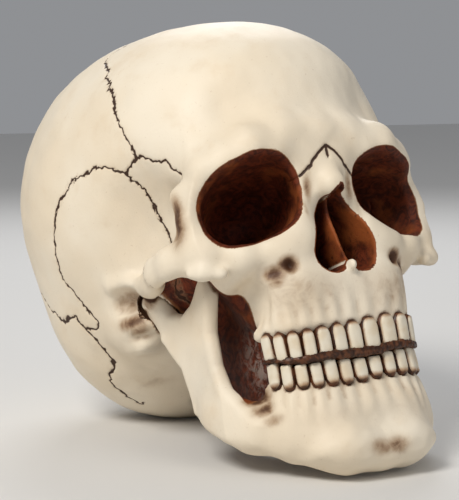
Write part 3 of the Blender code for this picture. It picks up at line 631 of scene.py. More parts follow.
def waves(p, size, seed, count=7):
    """Smooth irregular noise about -1 to 1, with bumps of about this size."""
    draw = np.random.default_rng(seed)
    total = np.zeros(p.shape[:-1], np.float32)
    for _ in range(count):
        way = draw.normal(size=3)
        way *= 2 * math.pi / (size * draw.uniform(0.7, 1.5)) / np.linalg.norm(way)
        total += np.sin(p @ vec(way) + draw.uniform(0, 6.28))
    return total / math.sqrt(count) * 0.9


def teeth_of_zigzag(p, size, seed):
    """Noise with sharp turns, for seams that interlock."""
    return 2 / math.pi * np.arcsin(np.clip(np.sin(waves(p, size * 2.2, seed) * 4.2), -1, 1))


def warped(p):
    """The point moved a little each way, so that straight seams run in zigzags."""
    strength = np.clip((p[..., 1] + 78) / 16, 0.12, 1)[..., None]
    moves = [
        0.62 * teeth_of_zigzag(p, 3.4, 10 + i)
        + 0.30 * teeth_of_zigzag(p, 1.9, 20 + i)
        + 0.9 * waves(p, 15, 30 + i)
        for i in range(3)
    ]
    return p + np.stack(moves, -1) * strength


def prism_distance(p, corners, axis, low, high):
    one, two = [i for i in range(3) if i != axis]
    flat = outline_distance(p[..., one], p[..., two], corners)
    return np.maximum(flat, np.maximum(low - p[..., axis], p[..., axis] - high))


def bone_distances(p):
    """For each bone of the skull the signed distance to its share, negative inside."""
    p = warped(p)
    taken = np.full(p.shape[:-1], np.inf, np.float32)
    out = []
    for _, how, parts in regions():
        each = [prism_distance(p, *part) for part in parts]
        own = np.min(each, axis=0) if how == "any" else np.max(each, axis=0)
        out.append(np.maximum(own, -taken))
        taken = np.minimum(taken, own)
    out.append(-taken)
    return np.stack(out, -1)


def fine_cranium(p):
    """The skull's form with the smaller features of the nose."""
    q = mirrored(p)
    d = cranium_mass(q)
    d = blend_max(d, -orbit(q), 2.2)
    edge = np.array(SEPTUM[::-1])
    front = np.interp(p[..., 2], edge[:, 0], edge[:, 1]).astype(np.float32)
    lean = np.interp(p[..., 2], (-14.0, 15.0), (2.6, 1.2)).astype(np.float32)
    wall = np.maximum(np.abs(p[..., 0] - lean) - SEPTUM_HALF, front - p[..., 1])
    d = blend_max(d, -blend_max(nostril(p), -wall, 0.8), 1.1)
    d = blend_min(d, ellipsoid(p, *NOSE_SPINE), 1.6)
    d = blend_max(d, -ellipsoid(q, *SPINAL_HOLE), 3)
    d = np.maximum(d, 0.5 - lower_jaw(q))
    return np.maximum(d, -floor_height(p))


def everything(p):
    return np.minimum(fine_cranium(p), mandible(p))


def gradient(field, p, step=0.35):
    base = field(p)
    parts = []
    for axis in range(3):
        q = p.copy()
        q[..., axis] += step
        parts.append((field(q) - base) / step)
    return base, np.stack(parts, -1)


def drawn_on(field, points):
    """The points moved on to the surface, and which way it faces there."""
    def work(p):
        for _ in range(2):
            value, slope = gradient(field, p)
            size = np.maximum((slope ** 2).sum(-1, keepdims=True), 0.15)
            p = p - np.clip(value[..., None], -GRID, GRID) * slope / size
        _, slope = gradient(field, p)
        steepness = np.maximum(np.linalg.norm(slope, axis=-1, keepdims=True), 1e-6)
        return np.concatenate([p, slope / steepness], -1)
    both = in_chunks(work, points.astype(np.float32))
    return both[:, :3], both[:, 3:]


def triangles_of(points, quads):
    one = np.linalg.norm(points[quads[:, 0]] - points[quads[:, 2]], axis=1)
    two = np.linalg.norm(points[quads[:, 1]] - points[quads[:, 3]], axis=1)
    swap = (one > two)[:, None]
    first = np.where(swap, quads[:, [0, 1, 3]], quads[:, [0, 1, 2]])
    second = np.where(swap, quads[:, [1, 2, 3]], quads[:, [0, 2, 3]])
    return np.concatenate([first, second])


def clipped(points, faces, value):
    """Cuts the triangles along the zero of value. Gives all points, the faces under zero and the others."""
    value = np.where(np.abs(value) < 0.04, np.where(value < 0, -0.04, 0.04), value)
    inside = (value < 0)[faces]
    count = inside.sum(1)
    under = faces[count == 3]
    over = faces[count == 0]
    mixed = (count == 1) | (count == 2)
    cut = faces[mixed]
    side = inside[mixed]
    lone_is_under = count[mixed] == 1
    lone = np.argmax(side == lone_is_under[:, None], axis=1)
    rows = np.arange(len(cut))
    a = cut[rows, lone]
    b = cut[rows, (lone + 1) % 3]
    c = cut[rows, (lone + 2) % 3]
    ends = np.concatenate([np.stack([a, b], 1), np.stack([a, c], 1)])
    ends.sort(axis=1)
    pairs, place = np.unique(ends, axis=0, return_inverse=True)
    place = place.reshape(-1) + len(points)
    t = value[pairs[:, 0]] / (value[pairs[:, 0]] - value[pairs[:, 1]])
    more = points[pairs[:, 0]] + t[:, None] * (points[pairs[:, 1]] - points[pairs[:, 0]])
    m = place[:len(cut)]
    n = place[len(cut):]
    tip = np.stack([a, m, n], 1)
    rest = np.stack([np.stack([m, b, c], 1), np.stack([m, c, n], 1)], 1)
    under = np.concatenate([under, tip[lone_is_under], rest[~lone_is_under].reshape(-1, 3)])
    over = np.concatenate([over, tip[~lone_is_under], rest[lone_is_under].reshape(-1, 3)])
    return np.concatenate([points, more]), under, over


def parted(points, faces):
    """The skull's surface shared out among its bones, cut exactly along the seams."""
    bones = {}
    rest = faces
    names = [name for name, _, _ in regions()]
    for i, name in enumerate(names):
        value = in_chunks(lambda p: bone_distances(p)[..., i], points.astype(np.float32))
        points, bones[name], rest = clipped(points, rest, value)
    bones["parietal_right"] = rest
    return points, bones


def patches(faces):
    """Numbers the connected patches of a set of triangles."""
    used, local = np.unique(faces, return_inverse=True)
    local = local.reshape(-1, 3)
    group = np.arange(len(used))
    while True:
        before = group.copy()
        low = group[local].min(1)
        for k in range(3):
            np.minimum.at(group, local[:, k], low)
        group = group[group]
        if (group == before).all():
            break
    return group[local[:, 0]]


def without_crumbs(bones, least=150):
    """Gives each tiny patch of a bone to the bone that it lies in."""
    loose = []
    for name, faces in bones.items():
        group = patches(faces)
        names, count = np.unique(group, return_counts=True)
        small = np.isin(group, names[count < least])
        for number in names[count < least]:
            loose.append((name, faces[group == number]))
        bones[name] = faces[~small]
    owners = {name: np.unique(faces) for name, faces in bones.items()}
    for name, faces in loose:
        rim = np.unique(faces)
        touch = {other: len(np.intersect1d(rim, verts)) for other, verts in owners.items()}
        best = max(touch, key=touch.get)
        bones[best] = np.concatenate([bones[best], faces])
    return bones


def smooth_step(value, low, high):
    t = np.clip((value - low) / (high - low), 0, 1)
    return t * t * (3 - 2 * t)


def blob(q, centre, reach):
    w = (q - vec(centre)) / vec(reach)
    return np.exp(-(w * w).sum(-1))


def along_arch(q, arch):
    """How far round the tooth row a point is from the middle."""
    curve, length = arch_curve(arch)
    half, front, back = arch
    turn = np.arctan2(curve[:, 0] / half, (back - curve[:, 1]) / (back - front))
    mine = np.arctan2(q[..., 0] / half, (back - q[..., 1]) / (back - front))
    return np.interp(mine, turn, length)


def gum_marks(p, arch, rows, shift, sign):
    """Around one tooth row: nearness to a tooth's outline, and the swelling over its root."""
    q = mirrored(p)
    along = along_arch(q, arch) * np.sign(p[..., 0])
    outline = np.full(along.shape, 9.0)
    ridge = np.zeros(along.shape)
    for teeth, side in rows:
        for at, width, gum, tip in tooth_places(teeth, side, shift):
            half = width / 2
            u = np.abs(along - side * at)
            rise = (gum + sign * TOOTH_ARCH - p[..., 2]) * sign
            reach = tooth_width(np.maximum(rise, 0.05), half)
            beside = np.abs(u - reach) * (0.45 + 0.55 * smooth_step(rise, 0.0, 2.5))
            over = np.hypot(np.minimum(rise, 0), np.maximum(u - 0.5, 0))
            near = np.where(rise > 0, beside, over)
            outline = np.minimum(outline, near)
            length = np.clip(-rise / ROOT_LENGTH, 0, 1)
            swell = np.exp(-(u / (half * 0.62)) ** 2) * np.sin(math.pi * np.clip(length * 1.06, 0, 1) ** 0.6)
            ridge = np.maximum(ridge, np.where(rise < 0, swell, 0))
    near = np.exp(-(arch_plan(q, arch) / 3.2) ** 2)
    return outline + (1 - near) * 9, (ridge - 0.42) * near * smooth_step(-q[..., 1], 60, 68)


def tooth_width(rise, half):
    """Half the width of a tooth this far below the top of its gum arch."""
    end = np.minimum(rise / (half * 1.35), 1)
    return (1 - (1 - end) ** 2.2) ** 0.5 * (half - 0.42)


def shading(points, normals, field):
    """How much each point is shut in by what stands round it, near and far; the painted shade in creases
    follows it.
    """
    def work(both):
        p = both[:, :3]
        n = both[:, 3:]
        out = []
        for reach in (2.0, 5.0, 10.0, 18.0):
            out.append(np.clip((reach - field(p + n * reach)) / reach, 0, 2) / 2)
        return np.stack(out, -1)
    return in_chunks(work, np.concatenate([points, normals], 1).astype(np.float32))


def seam_nearness(points):
    """Distance to the nearest seam that the cast shows."""
    names = [name for name, _, _ in regions()] + ["parietal_right"]
    kinds = [name.split("_")[0] for name in names]
    shown = np.zeros((len(kinds), len(kinds)), bool)
    for i, one in enumerate(kinds):
        for j, two in enumerate(kinds):
            shown[i, j] = (one, two) in SHOWN_SEAMS or (two, one) in SHOWN_SEAMS
    def work(p):
        each = bone_distances(p)
        order = np.argsort(each, axis=-1)
        rows = np.arange(len(p))
        first = order[:, 0]
        out = np.full(len(p), 9.0)
        for k in (1, 2):
            other = order[:, k]
            gap = (each[rows, other] - each[rows, first]) / 2
            out = np.where(shown[first, other], np.minimum(out, gap), out)
        hidden = (p[:, 1] < -60) & (p[:, 2] < 18)
        behind = (np.abs(p[:, 0]) < 40) & (p[:, 1] < -50) & ~((p[:, 1] < -80) & (p[:, 2] > 18))
        under = (np.abs(p[:, 0]) < 38) & (p[:, 1] < 31) & (p[:, 2] < -23)
        return np.where(hidden | behind | under, 9.0, out)
    return in_chunks(work, points.astype(np.float32))


def shut_in_opening(both):
    """How surely a point lies on the wall of an eye socket or of the nose, past the rim."""
    p = both[:, :3]
    n = both[:, 3:]
    out = np.zeros(len(p), np.float32)
    for field in (lambda a: orbit(mirrored(a)), nostril):
        value, slope = gradient(field, p)
        slope /= np.maximum(np.linalg.norm(slope, axis=-1, keepdims=True), 1e-6)
        turned = smooth_step(-(n * slope).sum(-1), 0.0, 0.55) * (1 - smooth_step(value, 0.5, 1.6))
        out = np.maximum(out, np.maximum(turned, smooth_step(-value, 1.1, 2.2)))
    spine = blob(p, NOSE_SPINE[0], (2.8, 4.5, 2.4)) * smooth_step(-p[:, 1], 88.0, 90.0)
    return out * (1 - smooth_step(spine, 0.25, 0.5))


def finished(points, normals, lower):
    """The last small relief of the surface, with the marks that its colours follow."""
    q = mirrored(points)
    own = mandible if lower else fine_cranium
    shut = shading(points, normals, everything)
    lift = 0.08 * waves(points, 9, 1) + 0.12 * waves(points, 22, 2)
    marks = {}
    for centre, reach, height in SPOTS:
        uneven = 0.25 * waves(points, 6, 3) if max(reach) < 13 else 0
        lift += height * blob(q, centre, reach) * (1 + uneven)
    stain = np.zeros(len(points))
    for centre, reach, strength in STAINS:
        stain = np.maximum(stain, strength * blob(q, centre, reach))
    if lower:
        rows = ((LOWER_LEFT, 1), (LOWER_RIGHT, -1))
        outline, ridge = gum_marks(points, LOWER_ARCH, rows, LOWER_SHIFT, -1)
    else:
        rows = ((UPPER_LEFT, 1), (UPPER_RIGHT, -1))
        outline, ridge = gum_marks(points, UPPER_ARCH, rows, UPPER_SHIFT, 1)
    lift += ROOT_RIDGE * ridge * (2.2 if lower else 1.8)
    # Painted shade in the valleys between the swellings over the tooth roots
    root_valley_shade = np.clip(-ridge * 2.4, 0, 1) * (1 - smooth_step(outline, 7.0, 8.5))
    groove = np.exp(-(outline / 0.5) ** 2)
    lift -= GUM_GROOVE * groove
    gum = np.exp(-(outline / 0.62) ** 2)
    if lower:
        line = np.full(len(points), 9.0)
        cut = np.zeros(len(points))
    else:
        line = seam_nearness(points)
        lift -= SEAM_DEPTH * np.exp(-(line / SEAM_WIDTH) ** 2)
        cut = in_chunks(shut_in_opening, np.concatenate([points, normals], 1).astype(np.float32))
    hollow = smooth_step(-q[:, 1], 24, 31) * smooth_step(66 + q[:, 1], 0, 3) * smooth_step(9 - q[:, 2], 0, 9)
    hollow *= smooth_step(50.5 - q[:, 0], 0, 2.5) * smooth_step(q[:, 2], -66, -60)
    recess = hollow
    if lower:
        recess = hollow * smooth_step(40.2 - q[:, 0], 0, 1.6) * smooth_step(-54 - q[:, 2], -3, 3)
    behind = smooth_step(1.5 - throat(q), 0.0, 1.2) * smooth_step(-q[:, 2], 20, 23)
    marks["dust"] = blob(q, (27.0, -60.0, -44.0), (6.0, 11.0, 12.0)) * (1 if not lower else 0)
    # Rust-brown paint in the nose and under the outer eye socket, made lighter there as painted light
    rust_and_light_mask = blob(q, (8.0, -88.0, 0.0), (16.0, 16.0, 20.0)) + blob(q, (38.0, -74.0, 8.0), (14.0, 12.0, 9.0))
    marks["rust_and_painted_light"] = np.clip(rust_and_light_mask, 0, 1)
    marks["dark"] = np.clip(np.maximum(np.maximum(cut, recess), behind * (not lower)), 0, 1)
    bold = 1 - 0.15 * (points[:, 1] < -76) * (points[:, 2] > 14)
    marks["line"] = np.clip(line * bold + 9 * smooth_step(cut, 0.2, 0.6), 0, 5)
    # Painted shade: creases shut in by the surface near them, and the root valleys, are added to the brown
    # wash of the stains
    crease_shade = 0.9 * smooth_step(shut[:, 1] * 0.6 + shut[:, 0] * 0.4, 0.30, 0.62)
    marks["wash_and_shade"] = np.clip(stain + crease_shade + root_valley_shade * (0.30 if lower else 0.16), 0, 1.3)
    marks["gum"] = np.clip(gum, 0, 1)
    lift *= 1 - smooth_step(3 - floor_height(points), 0, 3)
    return points + normals * lift[:, None], marks


def turned(vectors):
    """From the skull's level frame into the pose that it lies in."""
    c = math.cos(TILT)
    s = math.sin(-TILT)
    y = vectors[:, 1] * c - vectors[:, 2] * s
    z = vectors[:, 1] * s + vectors[:, 2] * c
    return np.stack([vectors[:, 0], y, z], 1)


def at_rest(points):
    """Millimetres of the level frame turned into metres of the pose that the skull lies in."""
    return (turned(points) - ORIGIN) * MM


def inside_box(points):
    """Keeps a point within the box of the solids."""
    return np.clip(points, np.array(cad_box[0]), np.array(cad_box[1]))


def fine_mesh(name, points, faces, marks, material, node, normals=None):
    """An object of the scene that takes the place of a node's solid."""
    mesh = bpy.data.meshes.new(name)
    mesh.vertices.add(len(points))
    mesh.vertices.foreach_set("co", inside_box(at_rest(points)).astype(np.float32).ravel())
    mesh.loops.add(faces.size)
    mesh.loops.foreach_set("vertex_index", faces.astype(np.int32).ravel())
    mesh.polygons.add(len(faces))
    mesh.polygons.foreach_set("loop_start", np.arange(0, faces.size, 3, dtype=np.int32))
    mesh.update(calc_edges=True)
    mesh.polygons.foreach_set("use_smooth", np.ones(len(faces), bool))
    for key, values in marks.items():
        layer = mesh.attributes.new(key, "FLOAT", "POINT")
        layer.data.foreach_set("value", values.astype(np.float32))
    if normals is not None:
        mesh.normals_split_custom_set_from_vertices(turned(normals).astype(float).tolist())
    item = bpy.data.objects.new(name, mesh)
    bpy.context.scene.collection.objects.link(item)
    mesh.materials.append(material)
    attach(item, "root")
    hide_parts(node)
    return item


def vertex_normals(points, faces):
    corner = points[faces]
    flat = np.cross(corner[:, 1] - corner[:, 0], corner[:, 2] - corner[:, 0])
    total = np.zeros_like(points)
    for k in range(3):
        np.add.at(total, faces[:, k], flat)
    return total / np.maximum(np.linalg.norm(total, axis=1, keepdims=True), 1e-9)


def meshed(field, box):
    """The largest closed surface of a form, as points and triangles."""
    points, quads = surface(*sampled(field, *box))
    faces = triangles_of(points, quads)
    group = patches(faces)
    names, count = np.unique(group, return_counts=True)
    return points, faces[group == names[np.argmax(count)]]


def build_skull(material):
    points, bones = parted(*meshed(fine_cranium, SKULL_BOX))
    bones = without_crumbs(bones)
    points, normals = drawn_on(fine_cranium, points)
    points, marks = finished(points, normals, False)
    shade = vertex_normals(points, np.concatenate(list(bones.values())))
    for name, part in bones.items():
        used, local = np.unique(part, return_inverse=True)
        own_marks = {key: values[used] for key, values in marks.items()}
        faces = local.reshape(-1, 3)
        fine_mesh(name + "_fine", points[used], faces, own_marks, material, name, shade[used])
        print(name, len(part))


def build_jaw(material):
    points, faces = meshed(mandible, JAW_BOX)
    used, local = np.unique(faces, return_inverse=True)
    faces = local.reshape(-1, 3)
    points, normals = drawn_on(mandible, points[used])
    points, marks = finished(points, normals, True)
    fine_mesh("mandible_fine", points, faces, marks, material, "mandible")
    print("mandible", len(faces))


def standing(curve, length, at):
    """A place on the tooth row and the way out from it."""
    place, ahead, behind = [point_along(curve, length, at + step) for step in (0, 1.5, -1.5)]
    way = (ahead - behind) / np.linalg.norm(ahead - behind)
    return place, np.array((way[1], -way[0]))


def tooth_shape(place, outward, half, gum, tip, side, draw, rim=0.0):
    """One tooth as a shield with a rounded end at the gum and a blunt edge, or the dark rim round it."""
    sign = 1 if tip > gum else -1
    start = gum - sign * (TOOTH_ARCH + rim)
    tall = abs(tip - start) - (0.9 if rim else 0)
    across = np.array((-outward[1], outward[0]))
    turn = np.linspace(0, 2 * math.pi, TOOTH_RING, endpoint=False)
    bulge = draw.uniform(0.96, 1.04)
    skew = draw.uniform(-0.2, 0.2)
    stain = 1.9 if sign < 0 else 2.5
    proud = TOOTH_PROUD - 1.35 * rim
    points = []
    marks = []
    for v in TOOTH_ROWS:
        rise = v * tall
        wide = tooth_width(rise, half + rim) * (1 - 0.05 * v)
        deep = TOOTH_DEPTH * bulge * (0.35 + 0.65 * min(rise / 1.1, 1) ** 0.6) * (1 - 0.16 * v ** 2)
        if v > 0.95:
            shrink = (v - 0.95) / 0.05
            wide *= 1 - 0.08 * shrink
            deep *= 1 - 0.14 * shrink
        for t in turn:
            c = math.copysign(abs(math.cos(t)) ** 0.62, math.cos(t))
            s = math.copysign(abs(math.sin(t)) ** 0.72, math.sin(t))
            spot = place + across * (c * wide + skew * v) + outward * (s * deep - TOOTH_DEPTH + proud)
            points.append((side * spot[0], spot[1], start + sign * rise))
            edge = max(abs(c) ** 6 * 0.8, math.exp(-(rise / stain) ** 2))
            marks.append(1.3 if rim or s < -0.2 else edge)
    rows = len(TOOTH_ROWS)
    n = TOOTH_RING
    faces = []
    for r in range(rows - 1):
        for i in range(n):
            j = (i + 1) % n
            faces.append((r * n + i, r * n + j, (r + 1) * n + j))
            faces.append((r * n + i, (r + 1) * n + j, (r + 1) * n + i))
    first = len(points)
    for base, flip in ((0, True), ((rows - 1) * n, False)):
        middle = np.mean(points[base:base + n], axis=0)
        points.append(tuple(middle))
        marks.append(1.3 if rim else 0.5)
        for i in range(n):
            j = (i + 1) % n
            tri = (base + i, base + j, first + (0 if flip else 1))
            faces.append(tri[::-1] if flip else tri)
    faces = np.array(faces)
    if side * sign < 0:
        faces = faces[:, ::-1]
    return np.array(points), faces, np.array(marks)


def bite_band(curve, length, side):
    """The rough dark filling between the two rows of teeth."""
    upper = tooth_places(UPPER_LEFT if side > 0 else UPPER_RIGHT, side, UPPER_SHIFT)
    lower = tooth_places(LOWER_LEFT if side > 0 else LOWER_RIGHT, side, LOWER_SHIFT)
    ats = np.linspace(side * UPPER_SHIFT, upper[-1][0] + 2.6, 110)
    top = np.interp(ats, [row[0] for row in upper], [row[3] for row in upper]) + 0.7
    low = np.interp(ats, [row[0] for row in lower], [row[3] for row in lower]) + 0.1
    outline = (
        (0.1, 0.0), (0.75, 0.12), (0.95, 0.35), (0.95, 0.65),
        (0.75, 0.88), (0.1, 1.0), (-3.2, 1.0), (-3.2, 0.0),
    )
    points = []
    for at, high, deep in zip(ats, top, low):
        place, outward = standing(curve, length, at)
        for out, up in outline:
            spot = place + outward * out
            points.append((side * spot[0], spot[1], deep + (high - deep) * up))
    n = len(outline)
    last = (len(ats) - 1) * n
    faces = []
    for start in range(0, last, n):
        for i in range(n):
            j = (i + 1) % n
            faces.append((start + i, start + n + j, start + j))
            faces.append((start + i, start + n + i, start + n + j))
    for i in range(1, n - 1):
        faces.append((0, i, i + 1))
        faces.append((last, last + i + 1, last + i))
    points = np.array(points)
    rough = np.stack([waves(points, 2.2, 61 + i) + 0.6 * waves(points, 1.1, 71 + i) for i in range(3)], -1)
    points = points + rough * (0.18, 0.18, 0.26)
    faces = np.array(faces)
    return points, faces if side > 0 else faces[:, ::-1], np.full(len(points), 1.6)


def joined(shapes):
    """Several meshes with their marks as one."""
    sizes = [len(points) for points, _, _ in shapes]
    starts = np.cumsum([0, *sizes[:-1]])
    faces = [faces + start for (_, faces, _), start in zip(shapes, starts)]
    points, _, marks = zip(*shapes)
    return np.concatenate(points), np.concatenate(faces), np.concatenate(marks)


def build_teeth(name, node, arch, rows, shift, material, seed):
    draw = np.random.default_rng(seed)
    curve, length = arch_curve(arch)
    shapes = []
    for teeth, side in rows:
        for at, width, gum, tip in tooth_places(teeth, side, shift):
            place, outward = standing(curve, length, at)
            tip = tip + draw.uniform(-0.2, 0.2)
            for rim in (0.0, TOOTH_RIM):
                shapes.append(tooth_shape(place, outward, width / 2, gum, tip, side, draw, rim))
        if arch is UPPER_ARCH:
            shapes.append(bite_band(curve, length, side))
    points, faces, marks = joined(shapes)
    points = points + 0.06 * waves(points, 3.0, seed)[:, None]
    fine_mesh(name, points, faces, {"edge": marks}, material, node)


class Shader:
    """A small help for wiring a material's nodes."""

    def __init__(self, name):
        self.material = bpy.data.materials.new(name)
        self.material.use_nodes = True
        self.tree = self.material.node_tree
        self.base = self.tree.nodes["Principled BSDF"]

    def node(self, kind, **values):
        made = self.tree.nodes.new("ShaderNode" + kind)
        for key, value in values.items():
            setattr(made, key, value)
        return made

    def plug(self, socket, value):
        if hasattr(value, "links"):
            self.tree.links.new(value, socket)
        else:
            socket.default_value = value

    def math(self, operation, a, b):
        made = self.node("Math", operation=operation)
        self.plug(made.inputs[0], a)
        self.plug(made.inputs[1], b)
        return made.outputs[0]

    def times(self, a, b):
        return self.math("MULTIPLY", a, b)

    def plus(self, a, b):
        return self.math("ADD", a, b)

    def minus(self, a, b):
        return self.math("SUBTRACT", a, b)

    def wavering(self, value, noise, strength):
        """The value moved up and down by a noise."""
        return self.plus(value, self.times(self.minus(noise, 0.5), strength))

    def noise(self, scale, detail, rough, distortion=0.0):
        made = self.node("TexNoise")
        values = {"Scale": scale, "Detail": detail, "Roughness": rough, "Distortion": distortion}
        for key, value in values.items():
            self.plug(made.inputs[key], value)
        self.plug(made.inputs["Vector"], self.node("TexCoord").outputs["Object"])
        return made.outputs["Fac"]

    def attribute(self, name):
        return self.node("Attribute", attribute_name=name).outputs["Fac"]

    def step(self, value, low, high):
        made = self.node("MapRange", interpolation_type="SMOOTHSTEP")
        self.plug(made.inputs["Value"], value)
        self.plug(made.inputs["From Min"], low)
        self.plug(made.inputs["From Max"], high)
        return made.outputs["Result"]

    def mix(self, amount, a, b):
        made = self.node("Mix", data_type="RGBA")
        self.plug(made.inputs["Factor"], amount)
        for socket, value in ((made.inputs[6], a), (made.inputs[7], b)):
            self.plug(socket, (*value, 1.0) if isinstance(value, tuple) else value)
        return made.outputs[2]

    def blend(self, amount, a, b):
        """A number between two others."""
        made = self.node("Mix", data_type="FLOAT")
        self.plug(made.inputs["Factor"], amount)
        self.plug(made.inputs[2], a)
        self.plug(made.inputs[3], b)
        return made.outputs[0]

    def layered(self, colour, layers):
        """Lays coats over a colour, each with where it lies, how thick it is and its own colour."""
        for where, strength, coat in layers:
            colour = self.mix(self.times(where, strength), colour, coat)
        return colour

    def finish(self, colour, rough, shine, height, strength, distance):
        """Sets the surface: its colour, roughness and gloss, and a bump this strong and deep."""
        self.plug(self.base.inputs["Base Color"], colour)
        self.plug(self.base.inputs["Roughness"], rough)
        self.base.inputs["Specular IOR Level"].default_value = shine
        bump = self.node("Bump")
        self.plug(bump.inputs["Height"], height)
        bump.inputs["Strength"].default_value = strength
        bump.inputs["Distance"].default_value = distance
        self.plug(self.base.inputs["Normal"], bump.outputs["Normal"])
        return self.material


IVORY = (0.800, 0.690, 0.530)
PALE = (0.850, 0.765, 0.625)
TAN = (0.640, 0.470, 0.285)
GREY = (0.52, 0.49, 0.43)
SPECK = (0.42, 0.28, 0.16)
THIN_WASH_AND_SHADE = (0.56, 0.44, 0.31)
WASH_AND_SHADE_BROWN = (0.27, 0.145, 0.066)
BROWN = (0.062, 0.019, 0.007)
SOCKET_RIM = (0.26, 0.105, 0.036)
DEEP = (0.040, 0.0070, 0.0022)
UMBER = (0.150, 0.0270, 0.0075)
RUST_AND_PAINTED_LIGHT = (0.360, 0.0950, 0.0220)
DUST = (0.36, 0.30, 0.26)
GUM_EDGE = (0.22, 0.105, 0.045)
SEAM_HALO = (0.42, 0.27, 0.15)
INK = (0.040, 0.0145, 0.0062)
TOOTH_PALE = (0.76, 0.69, 0.56)
TOOTH_TAN = (0.70, 0.59, 0.43)
TOOTH_WASH = (0.34, 0.175, 0.075)
TOOTH_INK = (0.034, 0.011, 0.004)
TOOTH_BROWN = (0.110, 0.037, 0.013)


def bone_material():
    """Cream cast with brown wash and painted shade in its hollows, dark sockets with painted light in places,
    and inked seams.
    """
    s = Shader("bone_cast")
    patch = s.noise(55, 4, 0.6)
    streak = s.noise(160, 5, 0.65, 1.2)
    mottle = s.noise(190, 5, 0.7, 1.8)
    wash_and_shade = s.attribute("wash_and_shade")
    gum = s.attribute("gum")
    line = s.attribute("line")
    blotch = s.times(s.minus(s.noise(110, 4, 0.6, 0.8), 0.5), 0.9)
    ragged = s.plus(s.wavering(wash_and_shade, streak, 0.75), s.times(blotch, s.step(wash_and_shade, 0.1, 0.5)))
    wash_and_shade_coat = s.times(s.step(ragged, 0.18, 0.95), s.step(wash_and_shade, 0.03, 0.25))
    edge = s.wavering(s.attribute("dark"), streak, 0.5)
    # Red-brown patches in the sockets' dark colour, with more of them at the nose and the lower outer socket
    # as painted light
    rust_and_light_mask = s.plus(s.noise(75, 3, 0.5), s.times(s.attribute("rust_and_painted_light"), 0.34))
    deep = s.layered(s.mix(s.step(mottle, 0.36, 0.66), DEEP, UMBER), (
        (s.step(rust_and_light_mask, 0.56, 0.84), 0.75, RUST_AND_PAINTED_LIGHT),
        (s.step(s.noise(420, 3, 0.6), 0.60, 0.72), 0.7, DEEP),
    ))
    dust = s.times(s.attribute("dust"), s.step(s.noise(230, 5, 0.7, 1.0), 0.44, 0.62))
    seam = s.minus(1.0, s.step(s.wavering(line, s.noise(700, 3, 0.6), 0.35), 0.34, 0.64))
    halo = s.minus(1.0, s.step(line, 0.2, 1.5))
    colour = s.layered(s.mix(s.step(s.noise(22, 3, 0.5), 0.35, 0.68), IVORY, PALE), (
        (s.step(patch, 0.52, 0.78), 0.30, TAN),
        (s.step(s.noise(34, 3, 0.5), 0.55, 0.75), 0.18, GREY),
        (s.step(s.noise(900, 2, 0.6), 0.66, 0.75), 0.22, SPECK),
        # Brown wash coats, which also carry the painted shade of creases and root valleys
        (s.step(wash_and_shade, 0.0, 0.6), 0.62, THIN_WASH_AND_SHADE),
        (wash_and_shade_coat, 0.8, WASH_AND_SHADE_BROWN),
        (s.step(ragged, 0.62, 1.15), 0.9, BROWN),
        (s.step(edge, 0.10, 0.34), 1.0, SOCKET_RIM),
        (s.step(edge, 0.28, 0.60), 1.0, deep),
        (dust, 0.75, DUST),
        (s.step(gum, 0.10, 0.62), 0.6, GUM_EDGE),
        (s.step(gum, 0.50, 0.92), 0.7, BROWN),
        (halo, 0.28, SEAM_HALO),
        (seam, 0.98, INK),
    ))
    rough = s.blend(s.step(edge, 0.2, 0.7), s.blend(patch, 0.42, 0.58), 0.66)
    fine = s.plus(s.times(s.noise(300, 5, 0.6), 0.6), s.times(s.noise(1400, 3, 0.6), 0.25))
    height = s.minus(fine, s.times(seam, 0.9))
    height = s.minus(height, s.times(s.times(mottle, s.step(edge, 0.3, 0.8)), 1.6))
    return s.finish(colour, rough, 0.26, height, 0.35, 0.0005)


def tooth_material():
    """Paler cast with brown wash towards the rims."""
    s = Shader("tooth_cast")
    streak = s.noise(420, 4, 0.6)
    edge = s.wavering(s.attribute("edge"), streak, 0.5)
    colour = s.layered(s.mix(s.step(s.noise(150, 3, 0.5), 0.4, 0.7), TOOTH_PALE, TOOTH_TAN), (
        (s.step(edge, 0.20, 0.72), 0.78, TOOTH_WASH),
        (s.step(edge, 0.60, 0.98), 1.0, s.mix(s.step(streak, 0.42, 0.60), TOOTH_INK, TOOTH_BROWN)),
    ))
    return s.finish(colour, s.blend(streak, 0.32, 0.50), 0.32, streak, 0.25, 0.0003)


def floor_material():
    s = Shader("pale_floor")
    s.plug(s.base.inputs["Base Color"], (0.72, 0.71, 0.69, 1.0))
    s.plug(s.base.inputs["Roughness"], 0.7)
    return s.material


def add_floor():
    mesh = bpy.data.meshes.new("floor")
    size = 3.0
    rim = [(-size, -size, 0.0), (size, -size, 0.0), (size, size, 0.0), (-size, size, 0.0)]
    mesh.from_pydata(rim, [], [(0, 1, 2, 3)])
    mesh.materials.append(floor_material())
    item = bpy.data.objects.new("floor", mesh)
    bpy.context.scene.collection.objects.link(item)


def aim(item, place, target):
    item.location = place
    item.rotation_euler = (Vector(target) - Vector(place)).to_track_quat("-Z", "Y").to_euler()


def add_light(name, place, target, size, watts, colour=(1.0, 0.97, 0.93)):
    lamp = bpy.data.lights.new(name, "AREA")
    lamp.shape = "DISK"
    lamp.size = size
    lamp.energy = watts
    lamp.color = colour
    item = bpy.data.objects.new(name, lamp)
    bpy.context.scene.collection.objects.link(item)
    aim(item, place, target)


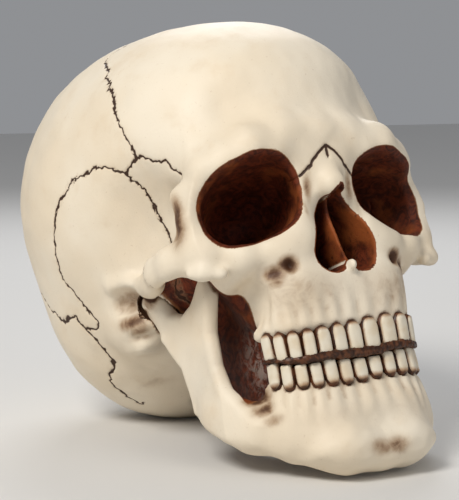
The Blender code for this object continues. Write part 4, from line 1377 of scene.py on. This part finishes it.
# Where the photo was taken from, which way is right in it, where it looks, and the lens in millimetres
CAMERA_PLACE = (-0.3913, -0.6259, 0.1532)
CAMERA_RIGHT = (0.848, -0.529, 0.0)
CAMERA_AHEAD = (0.526, 0.844, -0.104)
CAMERA_LENS = 127.47


def add_camera():
    """The photo's view, found from the outline of the braincase and the teeth."""
    lens = bpy.data.cameras.new("camera")
    lens.sensor_fit = "VERTICAL"
    lens.sensor_height = 36
    lens.lens = CAMERA_LENS
    item = bpy.data.objects.new("camera", lens)
    bpy.context.scene.collection.objects.link(item)
    right = Vector(CAMERA_RIGHT).normalized()
    ahead = Vector(CAMERA_AHEAD).normalized()
    up = right.cross(ahead).normalized()
    right = ahead.cross(up).normalized()
    turn = Matrix((right, up, -ahead)).transposed().to_4x4()
    item.matrix_world = Matrix.Translation(CAMERA_PLACE) @ turn
    bpy.context.scene.camera = item


def light_the_studio():
    world = bpy.data.worlds.new("studio")
    world.use_nodes = True
    background = world.node_tree.nodes["Background"]
    background.inputs["Color"].default_value = (0.86, 0.88, 0.92, 1.0)
    background.inputs["Strength"].default_value = 0.32
    bpy.context.scene.world = world
    middle = (0.0, -0.02, 0.09)
    add_light("key", (-0.92, -0.42, 1.08), middle, 0.6, 15.0, (1.0, 0.965, 0.91))
    add_light("fill", (0.35, -1.15, 0.55), middle, 0.8, 1.7, (1.0, 0.97, 0.93))
    add_light("rim", (0.5, 0.8, 0.8), middle, 0.6, 4.5, (0.97, 0.98, 1.0))
    scene = bpy.context.scene
    scene.view_settings.view_transform = "Standard"


bone = bone_material()
ivory = tooth_material()
build_skull(bone)
build_jaw(bone)
build_teeth("teeth_upper_left", "maxilla_left", UPPER_ARCH, ((UPPER_LEFT, 1),), UPPER_SHIFT, ivory, 51)
build_teeth("teeth_upper_right", "maxilla_right", UPPER_ARCH, ((UPPER_RIGHT, -1),), UPPER_SHIFT, ivory, 52)
both = ((LOWER_LEFT, 1), (LOWER_RIGHT, -1))
build_teeth("teeth_lower", "mandible", LOWER_ARCH, both, LOWER_SHIFT, ivory, 53)
add_floor()
add_camera()
light_the_studio()
